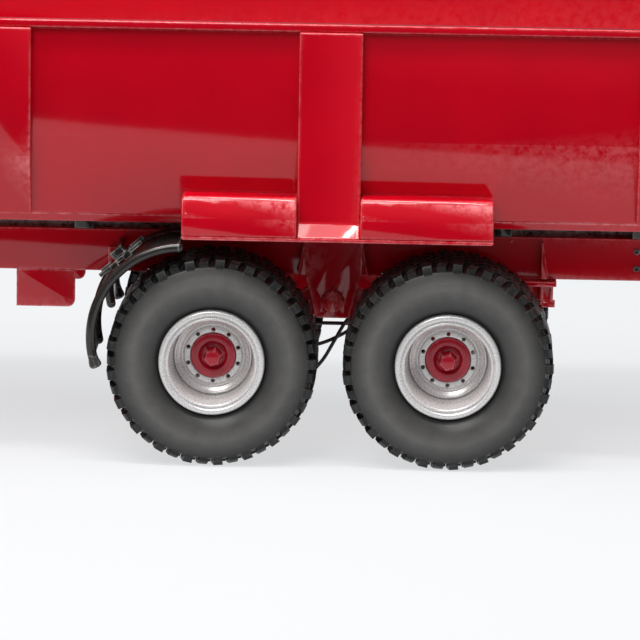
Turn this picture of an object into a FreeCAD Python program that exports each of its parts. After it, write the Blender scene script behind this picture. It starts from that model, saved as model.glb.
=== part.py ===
"""Tandem-axle manure spreader trailer, 1:32 die-cast scale model.

Millimetres. +X points to the rear, +Y to the vehicle's right, +Z up. The origin is on the ground,
under the middle of the model.
"""
import FreeCAD, Part
import math
import os

V = FreeCAD.Vector
ORIGIN = V(0, 0, 0)

# Driving dimensions: lengths along the model
drawbar_reach = 59.0
hull_length = 182.0
spreader_length = 45.0
bogie_setback = 114.0
tyre_gap = 5.0

# Wheels
tyre_diameter = 43.4
tyre_width = 20.4
rim_radius = 10.9
rim_seat_radius = 9.7
rim_well_radius = 8.05
rim_edge_inset = 0.9
rim_disc_depth = 8.5
rim_disc_thickness = 1.2
rim_hole_count = 10
rim_hole_radius = 0.45
rim_hole_circle = 5.35
hub_radius = 4.65
hub_cap_radius = 1.75
spindle_radius = 1.1
axle_radius = 1.6

# Body widths and heights
overall_width = 80.0
tyre_inset = 0.6
tyre_to_fender = 4.1
rail_to_tyre = 2.8
rail_width = 5.0
rail_height = 8.8
lip_thickness = 0.7
fender_face_height = 3.8
fender_lean_height = 3.6
fender_lean = 0.9
fender_chamfer = 0.8
fender_front_reach = 29.9
fender_rear_reach = 33.6
hull_wall = 1.0
hull_drop = 3.5
hull_to_lip = 8.6
hull_lean = 3.8
hull_bend_height = 16.6
hull_side_height = 39.0
post_width = 12.9
post_to_bogie = -0.7
post_inset = 2.75
sill_height = 1.8
sill_width = 2.0
sill_cut_back = 1.2
sill_to_rail = 4.0

# Bogie
pivot_below_rail = 5.4
rocker_side_gap = 0.9
bracket_thickness = 1.1
bracket_width = 11.4
bracket_foot_width = 6.8
bracket_below_pivot = 3.5
pivot_radius = 1.6
pin_head_radius = 2.2
pin_head_height = 0.8

# Mudguard
guard_tucked_in = 2.8
guard_thickness = 0.7
guard_bead_radius = 1.0
guard_start = 93.0
guard_sweep = 100.0
guard_forward = 5.9
guard_raise = 5.0

# Spreading unit
beater_radius = 3.6
blade_reach = 8.6
blade_thickness = 0.8
beater_spacing = 18.5
disc_radius = 15.8
disc_thickness = 0.8
disc_half_spacing = 17.0
vane_height = 3.2
hood_sheet = 0.8
gate_thickness = 1.0
gate_slot_depth = 1.1
rod_radius = 0.6
barrel_radius = 1.3

# Hitch and jack
eye_bore_radius = 2.0
eye_outer_radius = 4.6
eye_thickness = 2.5
eye_height = 19.0
drawbar_width = 8.0
jack_tube = 3.6
jack_leg_size = 2.2
jack_foot_size = 8.0

# Fits
running = 0.05
sliding = 0.1
clear = 0.2
overshoot = 1.0

# Places worked out from the sizes above
total_length = drawbar_reach + hull_length + spreader_length
front_x = -total_length / 2
hull_front_x = front_x + drawbar_reach
hull_rear_x = hull_front_x + hull_length
rear_x = hull_rear_x + spreader_length
bogie_x = hull_front_x + bogie_setback
axle_spacing = tyre_diameter + tyre_gap
axle_xs = (bogie_x - axle_spacing / 2, bogie_x + axle_spacing / 2)
axle_z = tyre_diameter / 2
half_width = overall_width / 2
tyre_outer_y = half_width - tyre_inset
tyre_inner_y = tyre_outer_y - tyre_width
rail_outer_y = tyre_inner_y - rail_to_tyre
rail_inner_y = rail_outer_y - rail_width
lip_z = tyre_diameter + tyre_to_fender
box_z = lip_z + lip_thickness
hull_z = lip_z + hull_drop
hull_y = half_width - hull_to_lip
bend_z = hull_z + hull_bend_height
bend_y = hull_y + hull_lean
top_z = hull_z + hull_side_height
sill_z = hull_z - sill_height
rail_top_z = sill_z - sill_to_rail
rail_bottom_z = rail_top_z - rail_height
pivot_z = rail_bottom_z - pivot_below_rail
guard_radius = tyre_diameter / 2 - guard_tucked_in
wheel_face = tyre_width - rim_edge_inset - rim_disc_depth
post_y = half_width - post_inset
post_x = bogie_x + post_to_bogie
shaft_z = (rail_top_z + rail_bottom_z) / 2
shaft_radius = 1.1


# ---------------------------------------------------------------- helpers

def box(x0, x1, y0, y1, z0, z1):
    """A block between two corners."""
    return Part.makeBox(x1 - x0, y1 - y0, z1 - z0, V(x0, y0, z0))


def rod_x(y, z, radius, x0, x1):
    """A cylinder along X."""
    return Part.makeCylinder(radius, x1 - x0, V(x0, y, z), V(1, 0, 0))


def rod_y(x, z, radius, y0, y1):
    """A cylinder along Y."""
    return Part.makeCylinder(radius, y1 - y0, V(x, y0, z), V(0, 1, 0))


def rod_z(x, y, radius, z0, z1):
    """A cylinder along Z."""
    return Part.makeCylinder(radius, z1 - z0, V(x, y, z0), V(0, 0, 1))


def prism(corners, direction):
    """A closed outline pushed along one direction."""
    wire = Part.makePolygon(list(corners) + [corners[0]])
    return Part.Face(wire).extrude(direction)


def prism_x(points, x0, x1):
    """An outline of (y, z) points pushed along X."""
    return prism([V(x0, y, z) for y, z in points], V(x1 - x0, 0, 0))


def prism_y(points, y0, y1):
    """An outline of (x, z) points pushed along Y."""
    return prism([V(x, y0, z) for x, z in points], V(0, y1 - y0, 0))


def fuse(shapes):
    """One solid out of touching ones."""
    joined = shapes[0].fuse(shapes[1:]) if len(shapes) > 1 else shapes[0]
    return joined.removeSplitter()


def mirrored(shape):
    """The same shape on the other side of the trailer."""
    return shape.mirror(ORIGIN, V(0, 1, 0))


def both_sides(shapes):
    """A group of the given solids and their mirror images."""
    return Part.makeCompound(list(shapes) + [mirrored(shape) for shape in shapes])


def turned(shape, centre, degrees):
    """A shape turned about the Y direction so that +X goes towards +Z."""
    copy = shape.copy()
    copy.rotate(centre, V(0, -1, 0), degrees)
    return copy


# ---------------------------------------------------------------- wheels

def tyre_profile():
    """Half-section of the tyre as (radius, width) edges, with bulging sidewalls."""
    outer = tyre_diameter / 2
    shoulder = outer - 1.0
    bulge = (rim_radius + shoulder) / 2
    bead = 1.0
    tread_edge = 2.6
    shoulder_in = 1.5
    inner_side = [V(rim_radius, bead, 0), V(bulge, 0, 0), V(shoulder, shoulder_in, 0)]
    outer_side = [V(point.x, tyre_width - point.y, 0) for point in inner_side]
    tread_inner = V(outer, tread_edge, 0)
    tread_outer = V(outer, tyre_width - tread_edge, 0)
    return Part.Wire([
        Part.Arc(*inner_side).toShape(),
        Part.LineSegment(inner_side[2], tread_inner).toShape(),
        Part.LineSegment(tread_inner, tread_outer).toShape(),
        Part.LineSegment(tread_outer, outer_side[2]).toShape(),
        Part.Arc(outer_side[2], outer_side[1], outer_side[0]).toShape(),
        Part.LineSegment(outer_side[0], inner_side[0]).toShape(),
    ])


def revolved(wire):
    """A (radius, width) outline turned a full circle about the wheel's axis."""
    return Part.Face(wire).revolve(ORIGIN, V(0, 1, 0), 360)


def make_tyre():
    """The tyre, a plain ring with its tread at full diameter."""
    return revolved(tyre_profile())


def make_rim():
    """The pressed rim: a stepped barrel, a deep disc and a ring of ventilation holes."""
    edge = tyre_width - rim_edge_inset
    face = wheel_face
    back = face - rim_disc_thickness
    inner_edge = rim_edge_inset
    sheet = 0.9
    step_depth = 3.0
    step_rise = 0.5
    lip_depth = 1.6
    lip_rise = 0.35
    outline = [
        (hub_radius, back), (hub_radius, face), (rim_well_radius, face),
        (rim_seat_radius - step_rise, edge - step_depth), (rim_seat_radius, edge - lip_depth),
        (rim_seat_radius + lip_rise, edge), (rim_radius, edge), (rim_radius, inner_edge),
        (rim_radius - sheet, inner_edge), (rim_radius - sheet, back - sheet), (rim_well_radius, back),
    ]
    rim = revolved(Part.makePolygon([V(r, w, 0) for r, w in outline + outline[:1]]))
    for index in range(rim_hole_count):
        angle = 2 * math.pi * (index + 0.5) / rim_hole_count
        x = rim_hole_circle * math.cos(angle)
        z = rim_hole_circle * math.sin(angle)
        rim = rim.cut(rod_y(x, z, rim_hole_radius, back - overshoot, face + overshoot))
    return rim


def make_hub():
    """The hub with its blind spindle bore, a grooved face, a boss and a hexagonal cap."""
    back = 0.4
    barrel = 3.4
    flange_back = wheel_face - rim_disc_thickness - 0.6
    flange_top = wheel_face + 1.3
    flange_chamfer = 0.4
    groove_floor = wheel_face + 0.7
    groove_outer = 3.3
    groove_inner = 2.3
    groove_slope = 0.2
    boss_top = wheel_face + 1.6
    cap_top = wheel_face + 3.9
    bore_end = boss_top - 0.6
    outline = [
        (0, back), (barrel, back), (barrel, flange_back), (hub_radius, flange_back),
        (hub_radius, flange_top - flange_chamfer), (hub_radius - flange_chamfer, flange_top),
        (groove_outer, flange_top), (groove_outer - groove_slope, groove_floor),
        (groove_inner + groove_slope, groove_floor), (groove_inner, boss_top), (0, boss_top),
    ]
    hub = revolved(Part.makePolygon([V(r, w, 0) for r, w in outline + outline[:1]]))
    corners = [math.radians(60 * index) for index in range(6)]
    hexagon = [(hub_cap_radius * math.cos(angle), hub_cap_radius * math.sin(angle)) for angle in corners]
    cap = prism_y(hexagon, boss_top, cap_top)
    bore = rod_y(0, 0, spindle_radius + running, 0, bore_end)
    return fuse([hub, cap]).cut(bore)


def place_wheel(shape, x, side):
    """Move a wheel part out to its axle; side is +1 for the right, -1 for the left."""
    placed = shape.copy()
    placed.translate(V(x, tyre_inner_y, axle_z))
    return placed if side > 0 else mirrored(placed)


# ---------------------------------------------------------------- hull

def hull_outline(inset, floor_z, end_z):
    """The hull's cross-section, moved in from the outer surface."""
    right = [(hull_y - inset, floor_z), (bend_y - inset, bend_z), (bend_y - inset, end_z)]
    left = [(-y, z) for y, z in reversed(right)]
    return right + left


def make_hull_shell():
    """Sides, floor and front wall, open at the top and at the back."""
    outer = prism_x(hull_outline(0, hull_z, top_z), hull_front_x, hull_rear_x)
    inner = prism_x(hull_outline(hull_wall, hull_z + hull_wall, top_z + overshoot),
                    hull_front_x + hull_wall, hull_rear_x + overshoot)
    return outer.cut(inner)


hull_rim_height = 1.6


def make_hull_rim():
    """The box rim along both sides and the front."""
    rim_out = 1.2
    reach = hull_wall + 0.6
    outer = box(hull_front_x - rim_out, hull_rear_x, -bend_y - rim_out, bend_y + rim_out,
                top_z, top_z + hull_rim_height)
    inner = box(hull_front_x + reach, hull_rear_x + overshoot, -bend_y + reach, bend_y - reach,
                top_z - overshoot, top_z + hull_rim_height + overshoot)
    return outer.cut(inner)


def hull_side_points(low_z):
    """Outline points down the hull's outer side, from the rim to the floor's edge."""
    return [(bend_y, top_z), (bend_y, bend_z), (hull_y, hull_z), (hull_y, low_z)]


def centre_post():
    """The wide post over the bogie; its foot slopes out to the fender's lip."""
    foot_inset = 0.35
    foot_steepness = 1.15
    foot_y = half_width - foot_inset
    slope_z = box_z + foot_steepness * (foot_y - post_y)
    outline = hull_side_points(box_z) + [(foot_y, box_z), (post_y, slope_z), (post_y, top_z)]
    return prism_x(outline, post_x - post_width / 2, post_x + post_width / 2)


def plain_post(x, width):
    """A post that ends at the hull's floor, cut back towards its foot."""
    foot_depth = 1.2
    cut_back_height = 4.0
    outline = hull_side_points(hull_z)[:3] + [
        (hull_y + foot_depth, hull_z), (post_y, bend_z - cut_back_height), (post_y, top_z)]
    return prism_x(outline, x - width / 2, x + width / 2)


def make_hull_posts():
    """One wide post, one plain post and the two corner posts on each side."""
    corner_width = 6.0
    front_post_reach = 67.3
    return both_sides([
        centre_post(),
        plain_post(post_x - front_post_reach, post_width),
        plain_post(hull_front_x + corner_width / 2, corner_width),
        plain_post(hull_rear_x - corner_width / 2, corner_width),
    ])


def make_fender_boxes():
    """The folded boxes over the wheels, in front of and behind the wide post."""
    crease_z = box_z + fender_face_height
    lean_z = crease_z + fender_lean_height
    crest_z = lean_z + fender_chamfer
    lean_y = half_width - fender_lean
    crest_hull_y = hull_y + hull_lean * (crest_z - hull_z) / hull_bend_height
    outline = [
        (half_width, box_z), (half_width, crease_z), (lean_y, lean_z),
        (lean_y - fender_chamfer, crest_z), (crest_hull_y, crest_z), (hull_y, hull_z), (hull_y, box_z),
    ]
    front = prism_x(outline, post_x - fender_front_reach, post_x - post_width / 2)
    rear = prism_x(outline, post_x + post_width / 2, post_x + fender_rear_reach)
    return both_sides([front, rear])


def make_fender_lips():
    """The plate under each fender, with rounded lower ends."""
    end_rounding = 0.8 * lip_thickness
    lip = box(post_x - fender_front_reach, post_x + fender_rear_reach,
              hull_y, half_width, lip_z, box_z)
    ends = [edge for edge in lip.Edges
            if abs(edge.CenterOfMass.z - lip_z) < 0.01 and edge.BoundBox.YLength > hull_to_lip / 2]
    return both_sides([lip.makeFillet(end_rounding, ends)])


sill_inset = 0.3
sill_outer_y = hull_y - sill_inset


def make_hull_sills():
    """The narrow rails that the hull's floor stands on, leaning in towards their feet."""
    inner = sill_outer_y - sill_width
    foot = sill_outer_y - sill_cut_back
    outline = [(inner, hull_z), (inner, sill_z), (foot, sill_z), (sill_outer_y, hull_z)]
    return both_sides([prism_x(outline, hull_front_x, hull_rear_x)])


def make_hull_bearers():
    """Cross bearers between the chassis rails and the hull's floor."""
    bearer_width = 4.0
    bearer_count = 7
    pitch = (hull_length - 2 * bearer_width) / (bearer_count - 1)
    centres = [hull_front_x + bearer_width + pitch * index for index in range(bearer_count)]
    return Part.makeCompound([
        box(x - bearer_width / 2, x + bearer_width / 2, -rail_outer_y, rail_outer_y,
            rail_top_z, hull_z) for x in centres])


chain_width = 1.6
chain_height = 0.8


def make_floor_chains():
    """The two chains of the scraper floor."""
    chain_y = 0.55 * hull_y
    front_gap = 3.0
    rear_gap = 1.0
    z = hull_z + hull_wall
    return both_sides([box(hull_front_x + front_gap, hull_rear_x - rear_gap,
                           chain_y, chain_y + chain_width, z, z + chain_height)])


def make_floor_slats():
    """The scraper slats that lie across the chains."""
    slat_pitch = 10.0
    slat_width = 1.6
    slat_height = 0.9
    end_gap = 6.0
    side_gap = 0.6
    z = hull_z + hull_wall + chain_height
    half = hull_y - hull_wall - side_gap
    count = int((hull_length - 2 * end_gap) // slat_pitch)
    starts = [hull_front_x + end_gap + slat_pitch * index for index in range(count)]
    slats = [box(x, x + slat_width, -half, half, z, z + slat_height) for x in starts]
    return Part.makeCompound(slats)


def make_headboard():
    """The grille above the front wall."""
    depth = 1.0
    side_gap = 2.0
    height = 4.4
    bar = 0.9
    thin_bar_half = 0.3
    spaces = 12
    x0, x1 = hull_front_x, hull_front_x + depth
    half = bend_y - side_gap
    inside = half - bar
    z0 = top_z + hull_rim_height
    z1 = z0 + height
    window = box(x0 - overshoot, x1 + overshoot, -inside, inside, z0 + bar, z1 - bar)
    frame = box(x0, x1, -half, half, z0, z1).cut(window)
    middles = [-inside + 2 * inside * index / spaces for index in range(1, spaces)]
    bars = [box(x0, x1, y - thin_bar_half, y + thin_bar_half, z0 + bar, z1 - bar) for y in middles]
    return fuse([frame] + bars)


def make_ladder():
    """The steps up the front wall."""
    stand_off = 3.0
    ladder_width = 10.0
    edge_gap = 3.4
    stile = 1.0
    depth = 1.2
    rung_height = 0.9
    rung_count = 6
    x1 = hull_front_x
    x0 = x1 - stand_off
    y0 = -hull_y + edge_gap
    y1 = y0 + ladder_width
    foot_drop = 6.0
    head_gap = 2.0
    low_stay_rise = 2.0
    high_stay_drop = 3.0
    z0 = sill_z - foot_drop
    z1 = top_z - head_gap
    stay_zs = (hull_z + low_stay_rise, z1 - high_stay_drop)
    stile_ys = (y0, y1 - stile)
    rung_zs = [z0 + (z1 - z0) * index / rung_count for index in range(rung_count)]
    stiles = [box(x0, x0 + depth, y, y + stile, z0, z1) for y in stile_ys]
    rungs = [box(x0, x0 + depth, y0, y1, z, z + rung_height) for z in rung_zs]
    stays = [box(x0, x1, y, y + stile, z, z + depth) for y in stile_ys for z in stay_zs]
    return fuse(stiles + rungs + stays)


# ---------------------------------------------------------------- chassis

rail_front_gap = 2.0
rail_rear_reach = 4.0


def make_chassis_rails():
    """The two long rails."""
    return both_sides([box(hull_front_x + rail_front_gap, hull_rear_x + rail_rear_reach,
                           rail_inner_y, rail_outer_y, rail_bottom_z, rail_top_z)])


def make_cross_members():
    """Cross members with a plain bearing for the drive shaft."""
    half = 1.5
    edge_gap = 1.0
    front_end_gap = 6.0
    rear_end_gap = 12.0
    ahead_of_bogie = 44.0
    behind_bogie = 42.0
    z0 = rail_bottom_z + edge_gap
    z1 = rail_top_z - edge_gap
    places = [hull_front_x + front_end_gap, bogie_x - ahead_of_bogie,
              bogie_x + behind_bogie, hull_rear_x - rear_end_gap]
    members = []
    for x in places:
        member = box(x - half, x + half, -rail_inner_y, rail_inner_y, z0, z1)
        bore = rod_x(0, shaft_z, shaft_radius + running, x - half - overshoot, x + half + overshoot)
        members.append(member.cut(bore))
    return Part.makeCompound(members)


gusset_depth = 2.4


def wedge_rib(x, base_y, z0, z1, side):
    """A gusset that widens downwards, standing out from a side face."""
    foot_width = 1.6
    top_width = 0.3
    outline = [
        V(x, base_y, z1), V(x, base_y, z0), V(x + side * foot_width, base_y, z0),
        V(x + side * top_width, base_y, z1),
    ]
    return prism(outline, V(0, gusset_depth, 0))


def make_rail_gussets():
    """Wedge gussets beside the pivot brackets and near the rear hangers."""
    foot_gap = 0.4
    head_gap = 0.8
    z0 = rail_bottom_z + foot_gap
    z1 = rail_top_z - head_gap
    half = bracket_width / 2
    return both_sides([
        wedge_rib(bogie_x - half, rail_outer_y, z0, z1, -1),
        wedge_rib(bogie_x + half, rail_outer_y, z0, z1, 1),
        wedge_rib(bogie_x + hanger_block_start, rail_outer_y, z0, z1, 1),
    ])


def make_pivot_brackets():
    """The two hanging plates on each rail that carry the bogie pivot pin."""
    half = bracket_width / 2
    foot = bracket_foot_width / 2
    top_gap = 0.4
    low = pivot_z - bracket_below_pivot
    high = rail_top_z - top_gap
    outline = [
        (bogie_x - half, high), (bogie_x - half, rail_bottom_z), (bogie_x - foot, low),
        (bogie_x + foot, low), (bogie_x + half, rail_bottom_z), (bogie_x + half, high),
    ]
    inner_start = rail_inner_y - bracket_thickness
    outer_end = rail_outer_y + bracket_thickness
    hole = rod_y(bogie_x, pivot_z, pivot_radius, inner_start - overshoot, outer_end + overshoot)
    plates = (prism_y(outline, inner_start, rail_inner_y), prism_y(outline, rail_outer_y, outer_end))
    return both_sides([plate.cut(hole) for plate in plates])


def make_pivot_pins():
    """The headed pins that the bogie rocks on."""
    start = rail_inner_y - bracket_thickness
    end = rail_outer_y + bracket_thickness
    pin = rod_y(bogie_x, pivot_z, pivot_radius, start, end)
    head = rod_y(bogie_x, pivot_z, pin_head_radius, end, end + pin_head_height)
    return both_sides([fuse([pin, head])])


plate_thickness = 1.2
hanger_block_start = 43.2
hanger_end = 46.4


def front_plate():
    """The plate that hangs in front of the bogie, with one rounded corner."""
    plate_length = 12.2
    plate_drop = 7.8
    ahead_of_bogie = 53.8
    corner_radius = 1.5
    rear_end = bogie_x - ahead_of_bogie
    low = rail_bottom_z - plate_drop
    plate = box(rear_end - plate_length, rear_end, rail_outer_y - plate_thickness, rail_outer_y,
                low, rail_bottom_z)
    corner = [edge for edge in plate.Edges
              if edge.BoundBox.ZLength < 0.01 and edge.BoundBox.XLength < 0.01
              and abs(edge.CenterOfMass.x - rear_end) < 0.01 and abs(edge.CenterOfMass.z - low) < 0.01]
    return plate.makeFillet(corner_radius, corner)


def guard_lug():
    """The lug on the rail that the mudguard's stay goes to."""
    ahead_of_bogie = 46.8
    lug_length = 2.6
    foot_gap = 0.8
    lug_height = 4.4
    x = bogie_x - ahead_of_bogie
    z = rail_bottom_z + foot_gap
    return box(x, x + lug_length, rail_outer_y, rail_outer_y + plate_thickness, z, z + lug_height)


def rear_hanger():
    """The flange behind the bogie, with its block and roller."""
    flange_start = bogie_x + 39.0
    flange_thickness = 1.0
    flange_inner = 2.0
    flange_outer = 3.2
    web_thickness = 1.0
    block_drop = 4.4
    block_end_gap = 0.6
    wall = 0.5
    groove_inner = 0.9
    roller_radius = 0.8
    roller_offset = 0.6
    block_x = bogie_x + hanger_block_start
    rear_end = bogie_x + hanger_end
    block_end = rear_end - block_end_gap
    web_y = rail_outer_y - web_thickness
    block_outer = rail_outer_y + roller_offset + roller_radius
    low = rail_bottom_z - flange_thickness
    block_low = rail_bottom_z - block_drop
    flange = box(flange_start, rear_end, rail_outer_y - flange_inner, rail_outer_y + flange_outer,
                 low, rail_bottom_z)
    web = box(flange_start + web_thickness, block_x, web_y, rail_outer_y, block_low, low)
    block = box(block_x, block_end, web_y, block_outer, block_low, low)
    groove = box(block_x + wall, block_end - wall, rail_outer_y + groove_inner,
                 block_outer + overshoot, block_low - overshoot, low)
    roller = rod_x(rail_outer_y + roller_offset, block_low - roller_offset, roller_radius,
                   block_x, rear_end - clear)
    return fuse([flange, web, block.cut(groove), roller])


def make_rail_brackets():
    """The plate in front of the bogie, the guard's lug and the rear hanger on each rail."""
    return both_sides([front_plate(), guard_lug(), rear_hanger()])


# ---------------------------------------------------------------- mudguards

guard_centre = V(axle_xs[0] - guard_forward, 0, axle_z + guard_raise)


def make_mudguards():
    """A curved sheet with a rolled bead along both edges, over the front wheels."""
    overhang = 0.2
    inner_y = tyre_inner_y - overhang
    outer_y = tyre_outer_y - 2 * overhang
    sheet = Part.makePlane(guard_thickness, outer_y - inner_y - 2 * guard_bead_radius,
                           V(guard_radius - guard_thickness / 2, inner_y + guard_bead_radius, 0))
    pieces = [sheet]
    for y in (inner_y + guard_bead_radius, outer_y - guard_bead_radius):
        circle = Part.Circle(V(guard_radius, y, 0), V(0, 0, 1), guard_bead_radius).toShape()
        pieces.append(Part.Face(Part.Wire(circle)))
    guards = []
    for piece in pieces:
        piece.rotate(ORIGIN, V(0, -1, 0), guard_start)
        piece.translate(guard_centre)
        guards.append(piece.revolve(guard_centre, V(0, -1, 0), guard_sweep))
    return both_sides([fuse(guards)])


def make_guard_clamps():
    """The clamp on each mudguard's crown and the stay that joins it to the chassis."""
    crown_angle = 131.0
    bar_half = 5.6
    bar_width = 0.9
    bar_stand_off = 0.5
    bar_offset = 2.7
    pad_height = 1.3
    pad_bite = 0.02
    pad_half_width = 3.5
    pad_half_length = 0.9
    pad_places = (-1.6, 1.9)
    block_height = 1.6
    block_half = 1.4
    stay_radius = 0.75
    stay_height = 2.1
    outside = guard_radius + guard_thickness / 2
    mid_y = (tyre_inner_y + tyre_outer_y) / 2
    x = guard_centre.x + outside
    z = guard_centre.z
    top = x + pad_height
    bars = [box(x + bar_stand_off, top, y - bar_width / 2, y + bar_width / 2, z - bar_half, z + bar_half)
            for y in (mid_y - bar_offset, mid_y + bar_offset)]
    pads = [box(x - pad_bite, top, mid_y - pad_half_width, mid_y + pad_half_width,
                z + place - pad_half_length, z + place + pad_half_length) for place in pad_places]
    block = box(top, top + block_height, mid_y - block_half, mid_y + block_half,
                z - block_half, z + block_half)
    clamp = turned(fuse(bars + pads + [block]), guard_centre, crown_angle)
    clamp = clamp.cut(make_mudguards().Solids[0])
    angle = math.radians(crown_angle)
    stay_x = guard_centre.x + (outside + stay_height) * math.cos(angle)
    stay_z = guard_centre.z + (outside + stay_height) * math.sin(angle)
    stay = rod_y(stay_x, stay_z, stay_radius, rail_outer_y, mid_y)
    return both_sides([fuse([clamp, stay])])


# ---------------------------------------------------------------- bogie

rocker_inner_y = rail_inner_y + rocker_side_gap
rocker_outer_y = rail_outer_y - rocker_side_gap


def make_bogie_rockers():
    """The rocking beam on each side, an inverted V from the pivot to both axles."""
    end_half_height = 2.6
    middle_half_height = 3.3
    middle_half_length = 3.1
    heel_length = 4.0
    heel_rise = 1.4
    boss_wall = 1.4
    boss_inner_reach = 0.5
    boss_outer_reach = 0.9
    y0 = rocker_inner_y
    y1 = rocker_outer_y
    reach = axle_spacing / 2
    low = axle_z - end_half_height
    right = [
        (middle_half_length, pivot_z - middle_half_height), (reach - heel_length, low + heel_rise),
        (reach, low), (reach, axle_z + end_half_height),
        (middle_half_length, pivot_z + middle_half_height),
    ]
    left = [(-x, z) for x, z in reversed(right)]
    beam = prism_y([(bogie_x + x, z) for x, z in right + left], y0, y1)
    bosses = [rod_y(x, axle_z, axle_radius + boss_wall, y0 - boss_inner_reach, y1 + boss_outer_reach)
              for x in axle_xs]
    rocker = fuse([beam] + bosses)
    rocker = rocker.cut(rod_y(bogie_x, pivot_z, pivot_radius + running, y0 - overshoot, y1 + overshoot))
    for x in axle_xs:
        rocker = rocker.cut(rod_y(x, axle_z, axle_radius, y0 - overshoot, y1 + overshoot))
    return both_sides([rocker])


def make_bogie_axles():
    """Both axles, with a spindle at each end that a wheel turns on."""
    tube_end = tyre_inner_y - clear
    spindle_end = tyre_inner_y + wheel_face
    axles = []
    for x in axle_xs:
        tube = rod_y(x, axle_z, axle_radius, -tube_end, tube_end)
        spindle = rod_y(x, axle_z, spindle_radius, -spindle_end, spindle_end)
        axles.append(fuse([tube, spindle]))
    return Part.makeCompound(axles)


brake_side_gap = 1.6
brake_outer_y = rail_inner_y - brake_side_gap
brake_chamber_radius = 2.1
brake_chamber_reach = 5.2
brake_chamber_length = 4.5
brake_chamber_drop = 4.0
brake_chamber_z = axle_z - brake_chamber_drop
brake_rod_rise = 2.6
brake_rod_radius = 0.4
brake_rod_z = axle_z + brake_rod_rise
brake_lever_depth = 4.0
brake_lever_width = 1.8
hose_radius = 0.38
hose_block_reach = 12.0
hose_block_x = bogie_x + hose_block_reach


def brake_chamber(x, toward):
    """One chamber with the lever that hangs it on the axle; toward is the side the chamber is on."""
    link_height = 1.4
    link_drop = 0.8
    half = brake_lever_width / 2
    centre_x = x + toward * brake_chamber_reach
    y0 = brake_outer_y - brake_lever_depth
    y1 = y0 + brake_lever_width
    low = brake_chamber_z - link_drop
    body = rod_y(centre_x, brake_chamber_z, brake_chamber_radius,
                 brake_outer_y - brake_chamber_length, brake_outer_y)
    arm = box(x - half, x + half, y0, y1, low, brake_rod_z + half)
    link = box(min(x, centre_x), max(x, centre_x), y0, y1, low, low + link_height)
    axle = rod_y(x, axle_z, axle_radius, 0, tyre_inner_y)
    return fuse([body, arm, link]).cut(axle)


def make_brake_gear():
    """A chamber and lever for every wheel, and the block on the left that the hoses start from."""
    block_length = 3.0
    block_inner_reach = 2.6
    block_low = axle_z + 3.0
    block_height = 6.2
    chambers = [brake_chamber(x, toward) for x, toward in zip(axle_xs, (1, -1))]
    block = box(hose_block_x, hose_block_x + block_length, brake_outer_y - block_inner_reach,
                rocker_inner_y, block_low, block_low + block_height)
    return Part.makeCompound(chambers + [mirrored(shape) for shape in chambers + [block]])


def make_brake_rods():
    """A thin link between the two levers on each side."""
    half = brake_lever_width / 2
    y = brake_outer_y - brake_lever_depth + half
    rod = rod_x(y, brake_rod_z, brake_rod_radius, axle_xs[0] + half, axle_xs[1] - half)
    return both_sides([rod])


def hose(points, radius):
    """A hose along straight runs joined by tangent arcs, each trimming the same share of its runs."""
    trimmed_share = 0.45
    edges = []
    start = points[0]
    for before, corner, after in zip(points, points[1:], points[2:]):
        into = (corner - before).normalize()
        away = (after - corner).normalize()
        turn = into.getAngle(away)
        shorter = min((corner - before).Length, (after - corner).Length)
        trim = trimmed_share * shorter
        arc_radius = trim / math.tan(turn / 2)
        arc_start = corner - into * trim
        arc_end = corner + away * trim
        bisector = (away - into).normalize()
        middle = corner + bisector * (arc_radius / math.cos(turn / 2) - arc_radius)
        edges.append(Part.LineSegment(start, arc_start).toShape())
        edges.append(Part.Arc(arc_start, middle, arc_end).toShape())
        start = arc_end
        print("hose arc radius", round(arc_radius, 2))
    edges.append(Part.LineSegment(start, points[-1]).toShape())
    path = Part.Wire(edges)
    direction = points[1] - points[0]
    section = Part.Wire(Part.Circle(points[0], direction, radius).toShape())
    tube = path.makePipeShell([section], True, False)
    print("hose volume", round(tube.Volume, 3), "expected", round(math.pi * radius ** 2 * path.Length, 3))
    return tube


def hose_point(x, z, y):
    """A point of a hose's route, from the middle of the bogie and the axles' height."""
    return V(bogie_x + x, y, axle_z + z)


def make_brake_hoses():
    steep_y = brake_outer_y - 0.8
    flat_y = brake_outer_y - 2.0
    end_x = brake_chamber_reach - axle_spacing / 2 + 1.8
    steep_route = [
        (hose_block_reach, 7.6), (8.0, 7.6), (3.2, 4.6), (-2.2, -5.4), (-6.2, -9.2), (-10.8, -9.6),
        (-14.6, -8.0), (end_x, -4.8),
    ]
    flat_route = [
        (hose_block_reach, 4.4), (7.8, 4.4), (2.8, 0.9), (-1.9, -1.5), (-6.8, -2.6), (-12.0, -3.0),
        (end_x, -3.6),
    ]
    chamber = rod_y(axle_xs[0] + brake_chamber_reach, brake_chamber_z, brake_chamber_radius,
                    0, brake_outer_y)
    hoses = [hose([hose_point(x, z, y) for x, z in route], hose_radius)
             for route, y in ((steep_route, steep_y), (flat_route, flat_y))]
    return Part.makeCompound([mirrored(tube.cut(chamber)) for tube in hoses])


# ---------------------------------------------------------------- drawbar, hitch and jack

shank_length = 3.0
drawbar_arm_length = 20.0
drawbar_root_x = hull_front_x + rail_front_gap
drawbar_root_depth = 2.5
drawbar_nose_x = front_x + 2 * eye_outer_radius + shank_length
drawbar_beam_rear_x = hull_front_x - drawbar_arm_length


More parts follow.
